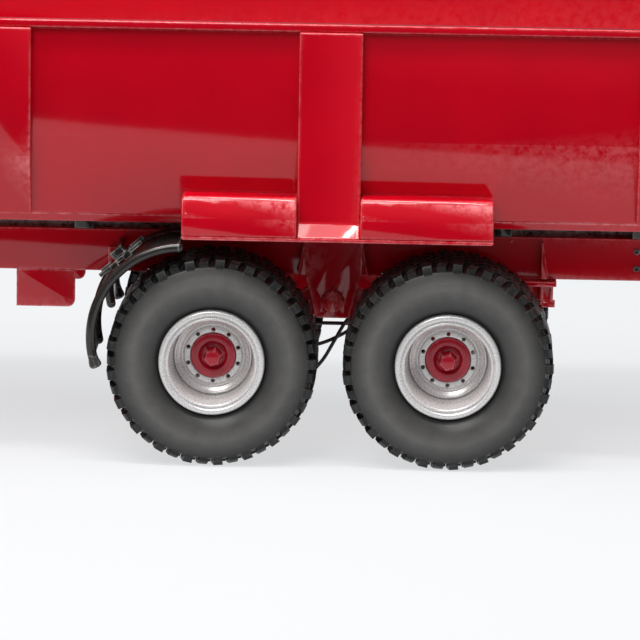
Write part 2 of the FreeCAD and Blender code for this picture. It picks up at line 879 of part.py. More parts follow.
def make_drawbar():
    """A V of two beams on a cross member, and the single beam that drops to the hitch."""
    top_step = 1.2
    upper_bend = 17.0
    lower_bend = 21.0
    heel_length = 4.5
    nose_height = 10.5
    nose_drop = 1.5
    arm_overlap = 7.0
    half = drawbar_width / 2
    nose = drawbar_nose_x
    nose_low = eye_height - nose_drop
    root_x = drawbar_root_x - drawbar_root_depth
    beam = prism_y([
        (drawbar_beam_rear_x, rail_top_z - top_step), (nose + upper_bend, rail_top_z - 2 * top_step),
        (nose, nose_low + nose_height), (nose, nose_low), (nose + heel_length, nose_low),
        (nose + lower_bend, rail_bottom_z), (drawbar_beam_rear_x, rail_bottom_z),
    ], -half, half)
    root = box(root_x, drawbar_root_x, -rail_outer_y, rail_outer_y, rail_bottom_z, rail_top_z)
    arm_corners = [
        V(root_x, rail_outer_y, rail_bottom_z), V(root_x, rail_inner_y, rail_bottom_z),
        V(drawbar_beam_rear_x, half / 2, rail_bottom_z),
        V(drawbar_beam_rear_x - arm_overlap, half, rail_bottom_z),
    ]
    arm = prism(arm_corners, V(0, 0, rail_height - top_step))
    body = fuse([beam, root, arm, mirrored(arm)])
    return body.cut(rod_x(0, shaft_z, shaft_radius + running, root_x - overshoot,
                          drawbar_root_x + overshoot))


def make_hitch_eye():
    """The towing ring and its shank."""
    shank_half = 2.2
    plate_half = 3.4
    plate_depth = 1.2
    plate_rise = 4.0
    centre_x = front_x + eye_outer_radius
    nose = drawbar_nose_x
    z0 = eye_height
    z1 = eye_height + eye_thickness
    ring = rod_z(centre_x, 0, eye_outer_radius, z0, z1)
    shank = box(centre_x, nose, -shank_half, shank_half, z0, z1)
    plate = box(nose - plate_depth, nose, -plate_half, plate_half, z0 - plate_depth, z1 + plate_rise)
    bore = rod_z(centre_x, 0, eye_bore_radius, z0 - overshoot, z1 + overshoot)
    return fuse([ring, shank, plate]).cut(bore)


jack_to_hull = 33.0
jack_x = hull_front_x - jack_to_hull
jack_y = drawbar_width / 2 + jack_tube / 2
jack_foot_height = 1.0


def make_jack_housing():
    """The square outer tube of the parking jack, fixed to the drawbar's side."""
    cap = 1.2
    z0 = 17.0
    z1 = rail_top_z + 2.0
    half = jack_tube / 2
    inner = jack_leg_size / 2 + sliding
    tube = box(jack_x - half, jack_x + half, jack_y - half, jack_y + half, z0, z1)
    bore = box(jack_x - inner, jack_x + inner, jack_y - inner, jack_y + inner, z0 - overshoot, z1 - cap)
    return tube.cut(bore)


def make_jack_leg():
    """The sliding square leg."""
    head_room = 6.5
    half = jack_leg_size / 2
    return box(jack_x - half, jack_x + half, jack_y - half, jack_y + half,
               jack_foot_height, rail_bottom_z - head_room)


def make_jack_foot():
    """The foot plate on the ground."""
    half = jack_foot_size / 2
    return box(jack_x - half, jack_x + half, jack_y - half, jack_y + half, 0, jack_foot_height)


# ---------------------------------------------------------------- drive line

gearbox_reach = 7.0
gearbox_rear_gap = 1.0
shaft_socket = 4.0
gearbox_front_x = hull_rear_x - gearbox_reach


def make_drive_shaft():
    """The shaft from the coupling stub under the front wall to the rear gearbox."""
    stub_length = 6.0
    collar_length = 1.2
    collar_step = 0.7
    spline_count = 6
    spline_half = 0.2
    spline_root = 0.1
    spline_height = 0.25
    stub_front = drawbar_root_x - drawbar_root_depth - clear - stub_length
    collar_rear = stub_front + stub_length
    collar_front = collar_rear - collar_length
    shaft = rod_x(0, shaft_z, shaft_radius, stub_front, gearbox_front_x + shaft_socket)
    collar = rod_x(0, shaft_z, shaft_radius + collar_step, collar_front, collar_rear)
    splines = []
    for index in range(spline_count):
        key = box(stub_front, collar_front, -spline_half, spline_half,
                  shaft_radius - spline_root, shaft_radius + spline_height)
        key.rotate(ORIGIN, V(1, 0, 0), 360 / spline_count * index)
        key.translate(V(0, 0, shaft_z))
        splines.append(key)
    return fuse([shaft, collar] + splines)


def make_gearbox():
    """The rear gearbox housing between the rails."""
    rear_end = hull_rear_x + rail_rear_reach - gearbox_rear_gap
    body = box(gearbox_front_x, rear_end, -rail_inner_y, rail_inner_y, rail_bottom_z, rail_top_z)
    return body.cut(rod_x(0, shaft_z, shaft_radius + running, gearbox_front_x - overshoot,
                          gearbox_front_x + shaft_socket + clear))


# ---------------------------------------------------------------- metering gate

guide_depth = 2.8
guide_drop = 2.4
guide_wall = 1.0
guide_inner_y = bend_y - 2.3
guide_outer_y = bend_y + 1.0
barrel_gap = 0.1
gate_beam_height = 2.4
guide_end_x = hull_rear_x + guide_depth
guide_top_z = top_z - guide_drop
gate_x = hull_rear_x + guide_wall
gate_top_z = guide_top_z + 0.4
gate_half = guide_inner_y + gate_slot_depth - clear
cylinder_x = gate_x + gate_thickness / 2
cylinder_y = guide_outer_y + barrel_radius + barrel_gap


def make_gate_guides():
    """The grooved uprights that the metering gate slides in."""
    guide = box(hull_rear_x, guide_end_x, guide_inner_y, guide_outer_y, hull_z, guide_top_z)
    slot = box(gate_x - sliding, gate_x + gate_thickness + sliding,
               guide_inner_y - overshoot, guide_inner_y + gate_slot_depth,
               hull_z + guide_wall, guide_top_z + overshoot)
    return both_sides([guide.cut(slot)])


def make_gate():
    """The metering gate, a plate that follows the guides, with a top beam."""
    floor_gap = 2.2
    beam_step = 0.4
    beam_half = cylinder_y + 0.9
    plate = box(gate_x, gate_x + gate_thickness, -gate_half, gate_half,
                hull_z + hull_wall + floor_gap, gate_top_z)
    beam = box(gate_x - beam_step, gate_x + gate_thickness + beam_step, -beam_half, beam_half,
               gate_top_z, gate_top_z + gate_beam_height)
    return fuse([plate, beam])


def make_gate_rods():
    """The piston rods that carry the gate's beam."""
    foot_z = hull_z + 5.0
    return both_sides([rod_z(cylinder_x, cylinder_y, rod_radius, foot_z, gate_top_z)])


def make_gate_barrels():
    """The lift cylinders on the guides' outer sides."""
    end_gap = 3.0
    cap = 1.5
    lug_half = 0.8
    lug_height = 2.2
    x = cylinder_x
    z0 = hull_z + end_gap
    z1 = guide_top_z - end_gap
    lug_zs = (z0 + 2.0, z1 - 5.0)
    barrel = rod_z(x, cylinder_y, barrel_radius, z0, z1)
    lugs = [box(x - lug_half, x + lug_half, guide_outer_y, cylinder_y, z, z + lug_height) for z in lug_zs]
    bore = rod_z(x, cylinder_y, rod_radius + running, z0 + cap, z1 + overshoot)
    return both_sides([fuse([barrel] + lugs).cut(bore)])


# ---------------------------------------------------------------- spreading unit

stub_radius = 1.0
wall_inner_y = bend_y - 0.2
wall_outer_y = wall_inner_y + 1.0
lower_beater = (guide_end_x + 10.6, hull_z + 11.0)
upper_beater = (guide_end_x + 11.4, hull_z + 11.0 + beater_spacing)
disc_x = rear_x - 22.0
disc_z = lip_z - 4.1
beam_z = disc_z - 1.9
beam_depth = 4.0
wall_top_z = top_z + 2.0


def make_spreader_walls():
    """The side walls of the spreading unit."""
    rear_end = rear_x - 5.5
    low = hull_z - 4.0
    top_slope = 7.0
    top_drop = 6.5
    foot_slope = 10.5
    foot_rise = 14.0
    outline = [
        (guide_end_x, low), (guide_end_x, wall_top_z), (rear_end - top_slope, wall_top_z),
        (rear_end, wall_top_z - top_drop), (rear_end, low + foot_rise), (rear_end - foot_slope, low),
    ]
    wall = prism_y(outline, wall_inner_y, wall_outer_y)
    for x, z in (lower_beater, upper_beater):
        wall = wall.cut(rod_y(x, z, stub_radius + running, wall_inner_y - overshoot,
                              wall_outer_y + overshoot))
    return both_sides([wall])


def make_beater_bearings():
    """Flanged bearings outside the walls."""
    flange_radius = 2.6
    length = 1.5
    socket = 1.1
    bearings = []
    for x, z in (lower_beater, upper_beater):
        body = rod_y(x, z, flange_radius, wall_outer_y, wall_outer_y + length)
        bore = rod_y(x, z, stub_radius + running, wall_outer_y - overshoot, wall_outer_y + socket)
        bearings.append(body.cut(bore))
    return both_sides(bearings)


def make_beater(place):
    """A beater tube with its stub shafts."""
    side_gap = 1.2
    stub_reach = 0.9
    x, z = place
    half = wall_inner_y - side_gap
    end = wall_outer_y + stub_reach
    tube = rod_y(x, z, beater_radius, -half, half)
    stub = rod_y(x, z, stub_radius, -end, end)
    return fuse([tube, stub])


def make_blades(place, hand):
    """Blades in two spirals round a beater tube."""
    count = 12
    step = 30
    side_gap = 3.0
    root_bite = 0.5
    blade_half = 1.3
    x, z = place
    half = wall_inner_y - side_gap
    root = x + beater_radius - root_bite
    tube = rod_y(x, z, beater_radius, -wall_inner_y, wall_inner_y)
    blades = []
    for index in range(count):
        y = -half + 2 * half * index / (count - 1)
        for start in (0, 180):
            blade = box(root, x + blade_reach, y - blade_thickness / 2, y + blade_thickness / 2,
                        z - blade_half, z + blade_half)
            blade = turned(blade, V(x, 0, z), start + hand * step * index)
            blades.append(blade.cut(tube))
    return Part.makeCompound(blades)


def make_disc_beam():
    """The cross beam under the discs, its two arms and its gear housings."""
    end_reach = 5.0
    half = 3.0
    arm_half = 2.0
    housing_radius = 3.2
    housing_drop = 0.6
    housing_rise = 1.0
    floor = 1.0
    reach = disc_half_spacing + end_reach
    low = beam_z - beam_depth
    arm_y = (rail_inner_y + rail_outer_y) / 2
    disc_ys = (-disc_half_spacing, disc_half_spacing)
    beam = box(disc_x - half, disc_x + half, -reach, reach, low, beam_z)
    arms = [box(hull_rear_x + rail_rear_reach, disc_x - half, y - arm_half, y + arm_half, low, beam_z)
            for y in (arm_y, -arm_y)]
    housings = [rod_z(disc_x, y, housing_radius, low - housing_drop, beam_z + housing_rise)
                for y in disc_ys]
    body = fuse([beam] + arms + housings)
    for y in disc_ys:
        body = body.cut(rod_z(disc_x, y, stub_radius + running, low + floor,
                              beam_z + housing_rise + overshoot))
    return body


def make_disc(side):
    """A spreading disc with its hub, vanes and shaft."""
    hub_step_radius = 2.4
    hub_height = 1.6
    shaft_depth = 2.6
    vane_count = 5
    vane_start = 2.0
    vane_half = 0.4
    rim_gap = 0.3
    first_turn = 15
    y = side * disc_half_spacing
    top = disc_z + disc_thickness
    plate = rod_z(disc_x, y, disc_radius, disc_z, top)
    hub = rod_z(disc_x, y, hub_step_radius, top, top + hub_height)
    shaft = rod_z(disc_x, y, stub_radius, beam_z - shaft_depth, disc_z)
    vanes = []
    for index in range(vane_count):
        vane = box(disc_x + vane_start, disc_x + disc_radius - rim_gap, y - vane_half, y + vane_half,
                   top, top + vane_height)
        vane.rotate(V(disc_x, y, 0), V(0, 0, 1), side * (360 / vane_count * index + first_turn))
        vanes.append(vane)
    return fuse([plate, hub, shaft] + vanes)


hinge_x = guide_end_x + 2.2
hinge_z = wall_top_z + 1.6
hinge_barrel_radius = 1.1
hinge_pin_radius = 0.55
hinge_ys = (-24.0, 24.0)
hinge_ear_offset = 3.3
hinge_ear_reach = 0.8
hinge_ear_half = 0.5
hinge_ear_gap = 0.3
hinge_bar_height = 0.8


def make_rear_hood():
    """The hinged hood: a bent sheet over and behind the beaters, with its hinge barrels."""
    wall_gap = 0.3
    bend_length = 11.0
    bend_drop = 10.5
    mitre_x = 0.4
    mitre_z = 0.3
    barrel_half = 2.5
    low = wall_top_z + wall_gap
    high = low + hood_sheet
    foot_z = hull_z + 6.0
    inner_x = rear_x - hood_sheet
    outline = [
        (hinge_x, low), (hinge_x, high), (rear_x - bend_length, high), (rear_x, high - bend_drop),
        (rear_x, foot_z), (inner_x, foot_z), (inner_x, high - bend_drop - mitre_z),
        (rear_x - bend_length - mitre_x, low),
    ]
    sheet = prism_y(outline, -wall_outer_y, wall_outer_y)
    notch_half = hinge_ear_half + hinge_ear_gap
    for y in hinge_ys:
        for side in (-1, 1):
            ear_y = y + side * hinge_ear_offset
            sheet = sheet.cut(box(hinge_x - overshoot, hinge_x + hinge_ear_reach + hinge_ear_gap,
                                  ear_y - notch_half, ear_y + notch_half, low - overshoot, high + overshoot))
    barrels = [rod_y(hinge_x, hinge_z, hinge_barrel_radius, y - barrel_half, y + barrel_half)
               for y in hinge_ys]
    hood = fuse([sheet] + barrels)
    return hood.cut(rod_y(hinge_x, hinge_z, hinge_pin_radius + running, -half_width, half_width))


def make_hood_pins():
    """The hinge pins and the ears that hold them, standing on a cross bar over the walls."""
    bar_depth = 0.8
    bar_top = wall_top_z + hinge_bar_height
    pin_half = hinge_ear_offset + hinge_ear_half
    pieces = [box(guide_end_x, guide_end_x + bar_depth, -wall_outer_y, wall_outer_y, wall_top_z, bar_top)]
    for y in hinge_ys:
        for side in (-1, 1):
            ear_y = y + side * hinge_ear_offset
            pieces.append(box(guide_end_x, hinge_x + hinge_ear_reach, ear_y - hinge_ear_half,
                              ear_y + hinge_ear_half, bar_top, hinge_z + hinge_ear_reach))
        pieces.append(rod_y(hinge_x, hinge_z, hinge_pin_radius, y - pin_half, y + pin_half))
    return fuse(pieces)


bar_rear_x = disc_x + 9.0
bar_top_z = beam_z - beam_depth - 1.0
bar_height = 4.0


def make_bumper_bar():
    """The light bar behind the discs' beam, on two drop stays."""
    bar_depth = 3.0
    end_gap = 5.0
    stay_start = disc_x - 2.0
    stay_y = 10.0
    stay_half = 1.2
    stay_height = 2.4
    front = bar_rear_x - bar_depth
    half = half_width - end_gap
    top = beam_z - beam_depth
    bar = box(front, bar_rear_x, -half, half, bar_top_z - bar_height, bar_top_z)
    stays = [box(stay_start, front, y - stay_half, y + stay_half, top - stay_height, top)
             for y in (-stay_y, stay_y)]
    return fuse([bar] + stays)


def make_tail_lamps():
    """The tail lamps on the light bar's rear face."""
    depth = 1.4
    edge_gap = 0.4
    outer_y = half_width - 6.0
    width = 8.0
    lamp = box(bar_rear_x, bar_rear_x + depth, outer_y - width, outer_y,
               bar_top_z - bar_height + edge_gap, bar_top_z - edge_gap)
    return both_sides([lamp])


# ---------------------------------------------------------------- export

nodes = {
    "hull_shell": make_hull_shell(),
    "hull_rim": make_hull_rim(),
    "hull_posts": make_hull_posts(),
    "fender_boxes": make_fender_boxes(),
    "fender_lips": make_fender_lips(),
    "hull_sills": make_hull_sills(),
    "hull_bearers": make_hull_bearers(),
    "floor_chains": make_floor_chains(),
    "floor_slats": make_floor_slats(),
    "headboard": make_headboard(),
    "ladder": make_ladder(),
    "chassis_rails": make_chassis_rails(),
    "cross_members": make_cross_members(),
    "rail_gussets": make_rail_gussets(),
    "pivot_brackets": make_pivot_brackets(),
    "pivot_pins": make_pivot_pins(),
    "rail_brackets": make_rail_brackets(),
    "mudguards": make_mudguards(),
    "guard_clamps": make_guard_clamps(),
    "bogie_rockers": make_bogie_rockers(),
    "bogie_axles": make_bogie_axles(),
    "brake_gear": make_brake_gear(),
    "brake_rods": make_brake_rods(),
    "brake_hoses": make_brake_hoses(),
    "drawbar": make_drawbar(),
    "hitch_eye": make_hitch_eye(),
    "jack_housing": make_jack_housing(),
    "jack_leg": make_jack_leg(),
    "jack_foot": make_jack_foot(),
    "drive_shaft": make_drive_shaft(),
    "gearbox": make_gearbox(),
    "gate_guides": make_gate_guides(),
    "gate": make_gate(),
    "gate_rods": make_gate_rods(),
    "gate_barrels": make_gate_barrels(),
    "spreader_walls": make_spreader_walls(),
    "beater_bearings": make_beater_bearings(),
    "beater_lower": make_beater(lower_beater),
    "beater_lower_blades": make_blades(lower_beater, 1),
    "beater_upper": make_beater(upper_beater),
    "beater_upper_blades": make_blades(upper_beater, -1),
    "disc_beam": make_disc_beam(),
    "disc_left": make_disc(-1),
    "disc_right": make_disc(1),
    "rear_hood": make_rear_hood(),
    "hood_pins": make_hood_pins(),
    "bumper_bar": make_bumper_bar(),
    "tail_lamps": make_tail_lamps(),
}

wheel_parts = {"tyre": make_tyre(), "rim": make_rim(), "hub": make_hub()}
for end, wheel_x in zip(("front", "rear"), axle_xs):
    for side_name, side in (("left", -1), ("right", 1)):
        for part_name, part_shape in wheel_parts.items():
            nodes[end + "_" + side_name + "_" + part_name] = place_wheel(part_shape, wheel_x, side)

os.makedirs("parts", exist_ok=True)
for name, shape in nodes.items():
    shape.exportStep("parts/" + name + ".step")
    if not shape.isValid():
        print("not valid:", name)
print(len(nodes), "nodes")
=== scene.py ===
"""Looks of the tandem-axle manure spreader model: paint, wheels, fasteners and a plain studio.

Metres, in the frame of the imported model: +X to the rear, +Y to the vehicle's right, +Z up.
"""
import bmesh
import bpy
import math
from bpy.props import FloatProperty, FloatVectorProperty, IntProperty, PointerProperty
from mathutils import Matrix, Vector


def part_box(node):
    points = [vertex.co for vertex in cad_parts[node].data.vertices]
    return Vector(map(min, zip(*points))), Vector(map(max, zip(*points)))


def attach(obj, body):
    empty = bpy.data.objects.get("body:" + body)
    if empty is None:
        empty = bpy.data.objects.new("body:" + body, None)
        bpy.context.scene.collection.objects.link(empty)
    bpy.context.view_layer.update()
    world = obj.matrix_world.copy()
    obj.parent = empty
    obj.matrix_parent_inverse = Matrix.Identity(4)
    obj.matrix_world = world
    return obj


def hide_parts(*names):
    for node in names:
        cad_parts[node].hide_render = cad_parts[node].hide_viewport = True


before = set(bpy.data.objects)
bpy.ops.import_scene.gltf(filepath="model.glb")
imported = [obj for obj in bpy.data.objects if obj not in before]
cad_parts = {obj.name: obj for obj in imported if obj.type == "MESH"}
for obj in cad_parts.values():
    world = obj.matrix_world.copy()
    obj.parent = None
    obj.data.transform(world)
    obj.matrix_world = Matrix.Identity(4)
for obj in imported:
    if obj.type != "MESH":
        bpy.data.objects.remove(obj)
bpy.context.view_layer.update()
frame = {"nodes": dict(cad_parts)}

bl_info = {
    "name": "Manure Spreader Model",
    "version": (1, 0, 0),
    "blender": (4, 5, 0),
    "location": "View3D > Sidebar > Spreader",
    "description": "Finishes the packed spreader trailer with paint, wheels, fasteners and a studio",
    "category": "Object",
}

MM = 0.001
nodes_by_name = frame["nodes"]


# ---------------------------------------------------------------- settings

class PaintSettings(bpy.types.PropertyGroup):
    """Colours and finish of the painted and bare surfaces."""
    body_red: FloatVectorProperty(
        name="Body red", description="Colour of the body's paint",
        subtype="COLOR", size=3, min=0, max=1, default=(0.55, 0.0018, 0.0125))
    hub_red: FloatVectorProperty(
        name="Hub red", description="Colour of the wheel hubs",
        subtype="COLOR", size=3, min=0, max=1, default=(0.42, 0.006, 0.022))
    black: FloatVectorProperty(
        name="Black", description="Colour of the black painted parts",
        subtype="COLOR", size=3, min=0, max=1, default=(0.018, 0.015, 0.013))
    silver: FloatVectorProperty(
        name="Rim silver", description="Colour of the rims",
        subtype="COLOR", size=3, min=0, max=1, default=(0.74, 0.72, 0.71))
    rubber: FloatVectorProperty(
        name="Rubber", description="Colour of the tyres",
        subtype="COLOR", size=3, min=0, max=1, default=(0.026, 0.025, 0.024))
    gloss: FloatProperty(
        name="Paint roughness", description="Roughness of the body's paint",
        subtype="FACTOR", min=0, max=1, default=0.075)


class WheelSettings(bpy.types.PropertyGroup):
    """Sizes of the tread, the rims and the hubs."""
    shoulder_tabs: IntProperty(
        name="Shoulder tabs", description="Tabs round each shoulder of a tyre", min=8, max=60, default=21)
    tab_width: FloatProperty(
        name="Tab width", description="Width of a shoulder tab round the tyre",
        subtype="DISTANCE", unit="LENGTH", default=2.2 * MM)
    lug_height: FloatProperty(
        name="Lug height", description="Height of the tread over the carcass",
        subtype="DISTANCE", unit="LENGTH", default=0.85 * MM)
    tread_rows: IntProperty(
        name="Tread rows", description="Rows of small blocks between the shoulders", min=1, max=12, default=5)
    tread_slant: FloatProperty(
        name="Tread slant", description="Slant of the small blocks",
        subtype="ANGLE", unit="ROTATION", default=math.radians(24))
    rim_holes: IntProperty(
        name="Rim holes", description="Holes in each rim's disc", min=3, max=24, default=10)
    rim_hole_radius: FloatProperty(
        name="Rim hole radius", description="Radius of a hole in the rim's disc",
        subtype="DISTANCE", unit="LENGTH", default=0.45 * MM)
    rim_hole_circle: FloatProperty(
        name="Rim hole circle", description="Radius of the circle that the holes are on",
        subtype="DISTANCE", unit="LENGTH", default=5.38 * MM)


class EdgeSettings(bpy.types.PropertyGroup):
    """How far the castings' edges are rounded."""
    body: FloatProperty(
        name="Body edges", description="Rounding of the hull's and fenders' edges",
        subtype="DISTANCE", unit="LENGTH", default=0.32 * MM)
    frame: FloatProperty(
        name="Frame edges", description="Rounding of the chassis' edges",
        subtype="DISTANCE", unit="LENGTH", default=0.2 * MM)
    small: FloatProperty(
        name="Small edges", description="Rounding of thin parts' edges",
        subtype="DISTANCE", unit="LENGTH", default=0.1 * MM)


class GuardSettings(bpy.types.PropertyGroup):
    """Arc of the mudguards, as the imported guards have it."""
    forward: FloatProperty(
        name="Forward", description="From the front axle forward to the arc's centre",
        subtype="DISTANCE", unit="LENGTH", default=5.9 * MM)
    rise: FloatProperty(
        name="Rise", description="From the front axle up to the arc's centre",
        subtype="DISTANCE", unit="LENGTH", default=5.0 * MM)
    radius: FloatProperty(
        name="Radius", description="Radius of the arc through the beads",
        subtype="DISTANCE", unit="LENGTH", default=18.9 * MM)
    bead_radius: FloatProperty(
        name="Bead radius", description="Radius of the rolled beads",
        subtype="DISTANCE", unit="LENGTH", default=1.0 * MM)
    start: FloatProperty(
        name="Start", description="Angle of the arc's upper end",
        subtype="ANGLE", unit="ROTATION", default=math.radians(93))
    sweep: FloatProperty(
        name="Sweep", description="Angle from the upper end to the foot",
        subtype="ANGLE", unit="ROTATION", default=math.radians(100))


class StudioSettings(bpy.types.PropertyGroup):
    """Camera, floor and lights."""
    azimuth: FloatProperty(
        name="Azimuth", description="Turn of the camera towards the rear, from square on",
        subtype="ANGLE", unit="ROTATION", default=math.radians(1.24))
    elevation: FloatProperty(
        name="Elevation", description="Height of the camera as an angle",
        subtype="ANGLE", unit="ROTATION", default=math.radians(11.12))
    roll: FloatProperty(
        name="Roll", description="Tilt of the camera about its view",
        subtype="ANGLE", unit="ROTATION", default=math.radians(0.92))
    distance: FloatProperty(
        name="Distance", description="From the camera to the point it looks at",
        subtype="DISTANCE", unit="LENGTH", default=1.02)
    lens: FloatProperty(
        name="Lens", description="Focal length of the camera in millimetres", min=10, default=281.25)
    floor_colour: FloatVectorProperty(
        name="Floor", description="Colour of the floor and the backdrop",
        subtype="COLOR", size=3, min=0, max=1, default=(0.195, 0.2, 0.205))
    softbox_power: FloatProperty(
        name="Softbox power", description="Power of the overhead softbox in watts", min=0, default=2.4)
    strip_power: FloatProperty(
        name="Strip power", description="Power of the narrow lamp overhead in watts", min=0, default=1.9)
    fill_power: FloatProperty(
        name="Fill power", description="Power of the front light in watts", min=0, default=4.4)


# ---------------------------------------------------------------- materials

def start_material(name):
    """A new node material with its shader, its node tree and the place on the piece in metres."""
    material = bpy.data.materials.new(name)
    material.use_nodes = True
    tree = material.node_tree
    place = tree.nodes.new("ShaderNodeTexCoord").outputs["Object"]
    return material, tree.nodes["Principled BSDF"], tree, place


def add_node(tree, kind, settings=(), **inputs):
    """A node with its settings, and its inputs set to values or linked to sockets."""
    node = tree.nodes.new(kind)
    for key, value in dict(settings).items():
        setattr(node, key, value)
    for key, value in inputs.items():
        socket = node.inputs[key.replace("_", " ")]
        if isinstance(value, bpy.types.NodeSocket):
            tree.links.new(value, socket)
        else:
            socket.default_value = value
    return node


def grain(tree, place, scale, detail=4.0, roughness=0.6):
    """Even noise from 0 to 1 at the given number of cells per metre."""
    return add_node(tree, "ShaderNodeTexNoise", Vector=place, Scale=scale, Detail=detail,
                    Roughness=roughness).outputs["Fac"]


def ramp(tree, value, low, high, out_low=0.0, out_high=1.0):
    """A value stretched from one range to another and kept inside it."""
    return add_node(tree, "ShaderNodeMapRange", Value=value, From_Min=low, From_Max=high,
                    To_Min=out_low, To_Max=out_high).outputs["Result"]


def blend_colours(tree, amount, first, second):
    """A mix of two colours, each a value or a socket."""
    mix = tree.nodes.new("ShaderNodeMix")
    mix.data_type = "RGBA"
    for socket, value in ((mix.inputs[0], amount), (mix.inputs[6], first), (mix.inputs[7], second)):
        if isinstance(value, bpy.types.NodeSocket):
            tree.links.new(value, socket)
        else:
            socket.default_value = value
    return mix.outputs[2]


def product(tree, first, second):
    """Two values multiplied."""
    node = tree.nodes.new("ShaderNodeMath")
    node.operation = "MULTIPLY"
    for socket, value in zip(node.inputs, (first, second)):
        if isinstance(value, bpy.types.NodeSocket):
            tree.links.new(value, socket)
        else:
            socket.default_value = value
    return node.outputs[0]


def edge_mask(tree, radius):
    """1 along edges and 0 on flat faces, from how far a rounded normal turns away."""
    flat_dot = 0.99
    edge_dot = 0.92
    bevel = add_node(tree, "ShaderNodeBevel", {"samples": 6}, Radius=radius)
    geometry = tree.nodes.new("ShaderNodeNewGeometry")
    dot = add_node(tree, "ShaderNodeVectorMath", {"operation": "DOT_PRODUCT"})
    tree.links.new(bevel.outputs[0], dot.inputs[0])
    tree.links.new(geometry.outputs["True Normal"], dot.inputs[1])
    return ramp(tree, dot.outputs["Value"], flat_dot, edge_dot)


def rgba(colour, gain=1.0):
    """A colour property as four values, made lighter or darker."""
    return [min(1.0, channel * gain) for channel in colour] + [1.0]


def finish_bump(tree, shader, height, strength, distance):
    """Surface relief on a shader."""
    bump = add_node(tree, "ShaderNodeBump", Strength=strength, Distance=distance, Height=height)
    tree.links.new(bump.outputs[0], shader.inputs["Normal"])


def gloss_paint(name, colour, roughness, edge_light_gain=1.5):
    """Sprayed enamel on a casting: faint orange peel, cloudy pigment and edges lightened towards pale pink, a
    painted highlight along the rounded edges that is partly thin paint.
    """
    speck_amount = 0.12
    edge_light_amount = 0.9
    edge_light_width = 0.5 * MM
    edge_highlight_white = 0.3
    material, shader, tree, place = start_material(name)
    clouds = grain(tree, place, 60.0, 3.0)
    pigment = blend_colours(tree, ramp(tree, clouds, 0.3, 0.7), rgba(colour, 0.93), rgba(colour, 1.05))
    specks = ramp(tree, grain(tree, place, 2600.0, 2.0), 0.66, 0.74)
    pigment = blend_colours(tree, product(tree, specks, speck_amount), pigment, rgba(colour, 0.55))
    # Patches along the rounded edges are lightened and whitened: a painted highlight on the edges, partly
    # thin paint worn through.
    patches = ramp(tree, grain(tree, place, 620.0, 5.0, 0.7), 0.36, 0.58)
    lighter_edges = product(tree, edge_mask(tree, edge_light_width), patches)
    thin = [min(1.0, channel * edge_light_gain + edge_highlight_white) for channel in colour] + [1.0]
    pigment = blend_colours(tree, product(tree, lighter_edges, edge_light_amount), pigment, thin)
    tree.links.new(pigment, shader.inputs["Base Color"])
    smears = grain(tree, place, 140.0, 5.0, 0.65)
    smooth, rough = roughness * 0.9, roughness * 1.2
    tree.links.new(ramp(tree, smears, 0.25, 0.75, smooth, rough), shader.inputs["Roughness"])
    shader.inputs["IOR"].default_value = 1.5
    peel = grain(tree, place, 520.0, 2.0, 0.5)
    finish_bump(tree, shader, peel, 0.04, 0.12 * MM)
    return material


def make_body_red_enamel():
    """The body's glossy red enamel."""
    paint = bpy.context.scene.paint
    return gloss_paint("body_red_enamel", paint.body_red, paint.gloss)


def make_hub_red():
    """The hubs' enamel, a little deeper than the body's."""
    paint = bpy.context.scene.paint
    return gloss_paint("hub_red_enamel", paint.hub_red, paint.gloss * 2.0)


def make_black_enamel():
    """Black enamel on the mudguards and small castings; its edges are lightened to grey, a painted highlight
    that is partly worn paint.
    """
    paint = bpy.context.scene.paint
    return gloss_paint("black_enamel", paint.black, 0.13, 4.0)


def make_silver_paint():
    """Silver paint with fine flakes."""
    colour = bpy.context.scene.paint.silver
    material, shader, tree, place = start_material("rim_silver_paint")
    flakes = add_node(tree, "ShaderNodeTexVoronoi", Vector=place, Scale=9000.0).outputs["Color"]
    flake_value = add_node(tree, "ShaderNodeSeparateColor", Color=flakes).outputs[0]
    tint = blend_colours(tree, flake_value, rgba(colour, 0.95), rgba(colour, 1.04))
    clouds = grain(tree, place, 160.0, 3.0)
    tint = blend_colours(tree, ramp(tree, clouds, 0.35, 0.75, 0.0, 0.35), tint, rgba(colour, 0.86))
    tree.links.new(tint, shader.inputs["Base Color"])
    shader.inputs["Metallic"].default_value = 0.4
    tree.links.new(ramp(tree, flake_value, 0.0, 1.0, 0.26, 0.32), shader.inputs["Roughness"])
    finish_bump(tree, shader, grain(tree, place, 500.0, 2.0), 0.03, 0.1 * MM)
    return material


